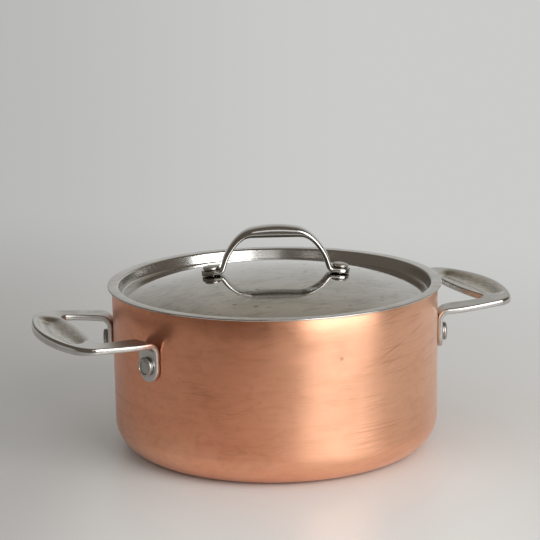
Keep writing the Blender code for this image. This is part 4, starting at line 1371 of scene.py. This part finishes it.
def floor_paper(settings):
    """Pale paper with painted shade to the left and a painted pool of light in front, that far from the pot
    takes the backdrop's colour, evenly lit.
    """
    material = bpy.data.materials.new("floor_paper")
    material.use_nodes = True
    tree = material.node_tree
    shader = tree.nodes["Principled BSDF"]
    shader.inputs["Roughness"].default_value = 0.4
    place = tree.nodes.new("ShaderNodeTexCoord").outputs["Object"]
    turn = settings.shade_turn
    aside = reach_along(tree, place, (math.cos(turn), math.sin(turn), 0))
    before = reach_along(tree, place, (math.sin(turn), -math.cos(turn), 0))
    from_fan = maths(tree, "MAXIMUM", maths(tree, "SUBTRACT", settings.fan, before), 0.3)
    wedge = maths(tree, "DIVIDE", aside, from_fan)

    # Painted shade darkens the floor to the left, away from the main light, and a painted pool of light
    # lightens it in front of the pot
    colour = blend_colours(tree, remap(tree, wedge, -0.17, -0.02), shaded(settings.floor, 0.8),
                           settings.floor)
    front = product(tree, remap(tree, before, 0.0, 0.12), remap(tree, aside, -0.2, -0.05),
                    remap(tree, aside, 0.24, 0.12))
    colour = blend_colours(tree, front, colour, shaded(settings.floor, 1.14))
    grain = weighed(tree, (noise(tree, place, 260.0, 2.0), 0.5), (noise(tree, place, 3.0, 2.0), 0.5))
    colour = blend_colours(tree, product(tree, grain, 0.06), colour, settings.floor_grain)
    fill(tree, shader.inputs["Base Color"], colour)

    rays = tree.nodes.new("ShaderNodeLightPath").outputs
    seen = maths(tree, "ADD", rays["Is Camera Ray"], rays["Is Glossy Ray"], clamp=True)
    distance = add_node(tree, "ShaderNodeVectorMath", {0: place}, operation="LENGTH").outputs["Value"]
    far = remap(tree, weighed(tree, (aside, 0.5), start=distance), 0.22, 0.95)
    # Painted shade: the backdrop's glow is darker on the left, away from the main light
    backdrop = blend_colours(tree, remap(tree, wedge, -0.19, 0.06), settings.backdrop_left,
                             settings.backdrop_right)
    surface = glow_over(tree, product(tree, seen, far), shader.outputs[0], backdrop)
    past_table = remap(tree, before, settings.table, settings.table + 0.2)
    surface = glow_over(tree, product(tree, rays["Is Glossy Ray"], past_table), surface, settings.dim_room)
    fill(tree, tree.nodes["Material Output"].inputs["Surface"], surface)
    return material


def make_floor(settings):
    """A wide plain floor."""
    bpy.ops.object.select_all(action="DESELECT")
    bpy.ops.mesh.primitive_circle_add(vertices=128, radius=12, fill_type="NGON", location=(0, 0, 0))
    floor = bpy.context.object
    floor.name = floor.data.name = "floor"
    floor.data.materials.append(floor_paper(settings))


def make_world(scene):
    """A studio room: a plain soft light all round, and in reflections a pale backdrop in a dim room."""
    settings = scene.pot_stage
    world = bpy.data.worlds.new("studio")
    scene.world = world
    world.use_nodes = True
    tree = world.node_tree
    tree.nodes.clear()
    direction = tree.nodes.new("ShaderNodeTexCoord").outputs["Generated"]
    height = split(tree, direction)[2]
    turn, middle = settings.shade_turn, settings.backdrop_turn - settings.shade_turn
    facing = reach_along(tree, direction, (math.sin(middle), math.cos(middle), 0))
    level = maths(tree, "SQRT", maths(tree, "SUBTRACT", 1.0, product(tree, height, height)))
    facing = maths(tree, "DIVIDE", facing, maths(tree, "MAXIMUM", level, 0.05))
    aside = reach_along(tree, direction, (math.cos(turn), math.sin(turn), 0))
    backdrop = colour_steps(tree, height, BACKDROP_BY_HEIGHT)
    room = colour_steps(tree, height, ROOM_BY_HEIGHT)
    mirrored = blend_colours(tree, remap(tree, facing, 0.62, 0.90), room, backdrop)
    mirrored = blend_colours(tree, remap(tree, aside, -0.05, -0.45), mirrored, room)
    rays = tree.nodes.new("ShaderNodeLightPath").outputs
    ambient = settings.ambient
    colour = blend_colours(tree, rays["Is Glossy Ray"], (ambient, ambient, ambient * 0.98, 1), mirrored)
    colour = blend_colours(tree, rays["Is Camera Ray"], colour, settings.sky)
    background = add_node(tree, "ShaderNodeBackground", {"Color": colour, "Strength": 1.0})
    output = tree.nodes.new("ShaderNodeOutputWorld")
    fill(tree, output.inputs["Surface"], background.outputs[0])


def add_soft_light(name, power, size, distance, height, turn, rise=0.0):
    """A soft light that faces a point at a height over the base, from a turn and a rise round it."""
    out = Vector((math.sin(turn) * math.cos(rise), -math.cos(turn) * math.cos(rise), math.sin(rise)))
    lamp = bpy.data.lights.new(name, "AREA")
    lamp.shape = "RECTANGLE"
    lamp.size, lamp.size_y = size
    lamp.energy = power
    light = bpy.data.objects.new(name, lamp)
    bpy.context.scene.collection.objects.link(light)
    light.matrix_world = (Matrix.Translation(out * distance + Vector((0, 0, height)))
                          @ out.to_track_quat("Z", "Y").to_matrix().to_4x4())


def make_camera(scene, settings):
    """The camera that sees the pot as the photograph does."""
    azimuth, elevation, roll = settings.azimuth, settings.elevation, settings.roll
    right = Vector((math.cos(azimuth), -math.sin(azimuth), 0))
    back = Vector((-math.sin(azimuth) * math.cos(elevation), -math.cos(azimuth) * math.cos(elevation),
                   math.sin(elevation)))
    up = back.cross(right)
    rolled = right * math.cos(roll) + up * math.sin(roll)
    upright = up * math.cos(roll) - right * math.sin(roll)
    aim = right * settings.aim_side + Vector((0, 0, settings.aim_height))
    camera = bpy.data.objects.new("camera", bpy.data.cameras.new("camera"))
    scene.collection.objects.link(camera)
    camera.data.sensor_width = 36
    camera.data.lens = settings.lens
    turn = Matrix((rolled, upright, back)).transposed().to_4x4()
    camera.matrix_world = Matrix.Translation(aim + back * settings.distance) @ turn
    scene.camera = camera


# Panel and registration


class POT_PT_panel(bpy.types.Panel):
    """Lists the pieces of the pot and its stage"""

    bl_idname = "POT_PT_panel"
    bl_label = "Copper Pot"
    bl_space_type = "VIEW_3D"
    bl_region_type = "UI"
    bl_category = "Copper Pot"

    def draw(self, context):
        for operator in OPERATORS:
            self.layout.operator(operator.bl_idname)
        for group in SETTINGS:
            box = self.layout.box()
            settings = getattr(context.scene, group)
            for name in settings.__annotations__:
                box.prop(settings, name)


SETTINGS = {"pot_body": PotBodySizes, "side_handle": SideHandleSizes, "pot_lid": LidSizes,
            "lid_handle": LidHandleSizes, "pot_rivets": RivetSizes, "pot_finish": FinishColours,
            "pot_stage": StageSettings}
OPERATORS = (POT_OT_copper_body, POT_OT_lining, POT_OT_side_handles, POT_OT_side_rivets,
             POT_OT_lid_sheet, POT_OT_lid_arch, POT_OT_lid_rivets, POT_OT_stage)


def register():
    """Registers the settings, the operators and the panel."""
    for name, group in SETTINGS.items():
        bpy.utils.register_class(group)
        setattr(bpy.types.Scene, name, PointerProperty(type=group))
    for item in (*OPERATORS, POT_PT_panel):
        bpy.utils.register_class(item)


def unregister():
    """Takes them all out again."""
    for item in (POT_PT_panel, *reversed(OPERATORS)):
        bpy.utils.unregister_class(item)
    for name, group in SETTINGS.items():
        delattr(bpy.types.Scene, name)
        bpy.utils.unregister_class(group)


def main():
    """Builds every piece and the stage."""
    register()
    bpy.ops.pot.copper_body()
    bpy.ops.pot.lining()
    bpy.ops.pot.side_handles()
    bpy.ops.pot.side_rivets()
    bpy.ops.pot.lid_sheet()
    bpy.ops.pot.lid_arch()
    bpy.ops.pot.lid_rivets()
    bpy.ops.pot.stage()


if __name__ == "__main__":
    main()
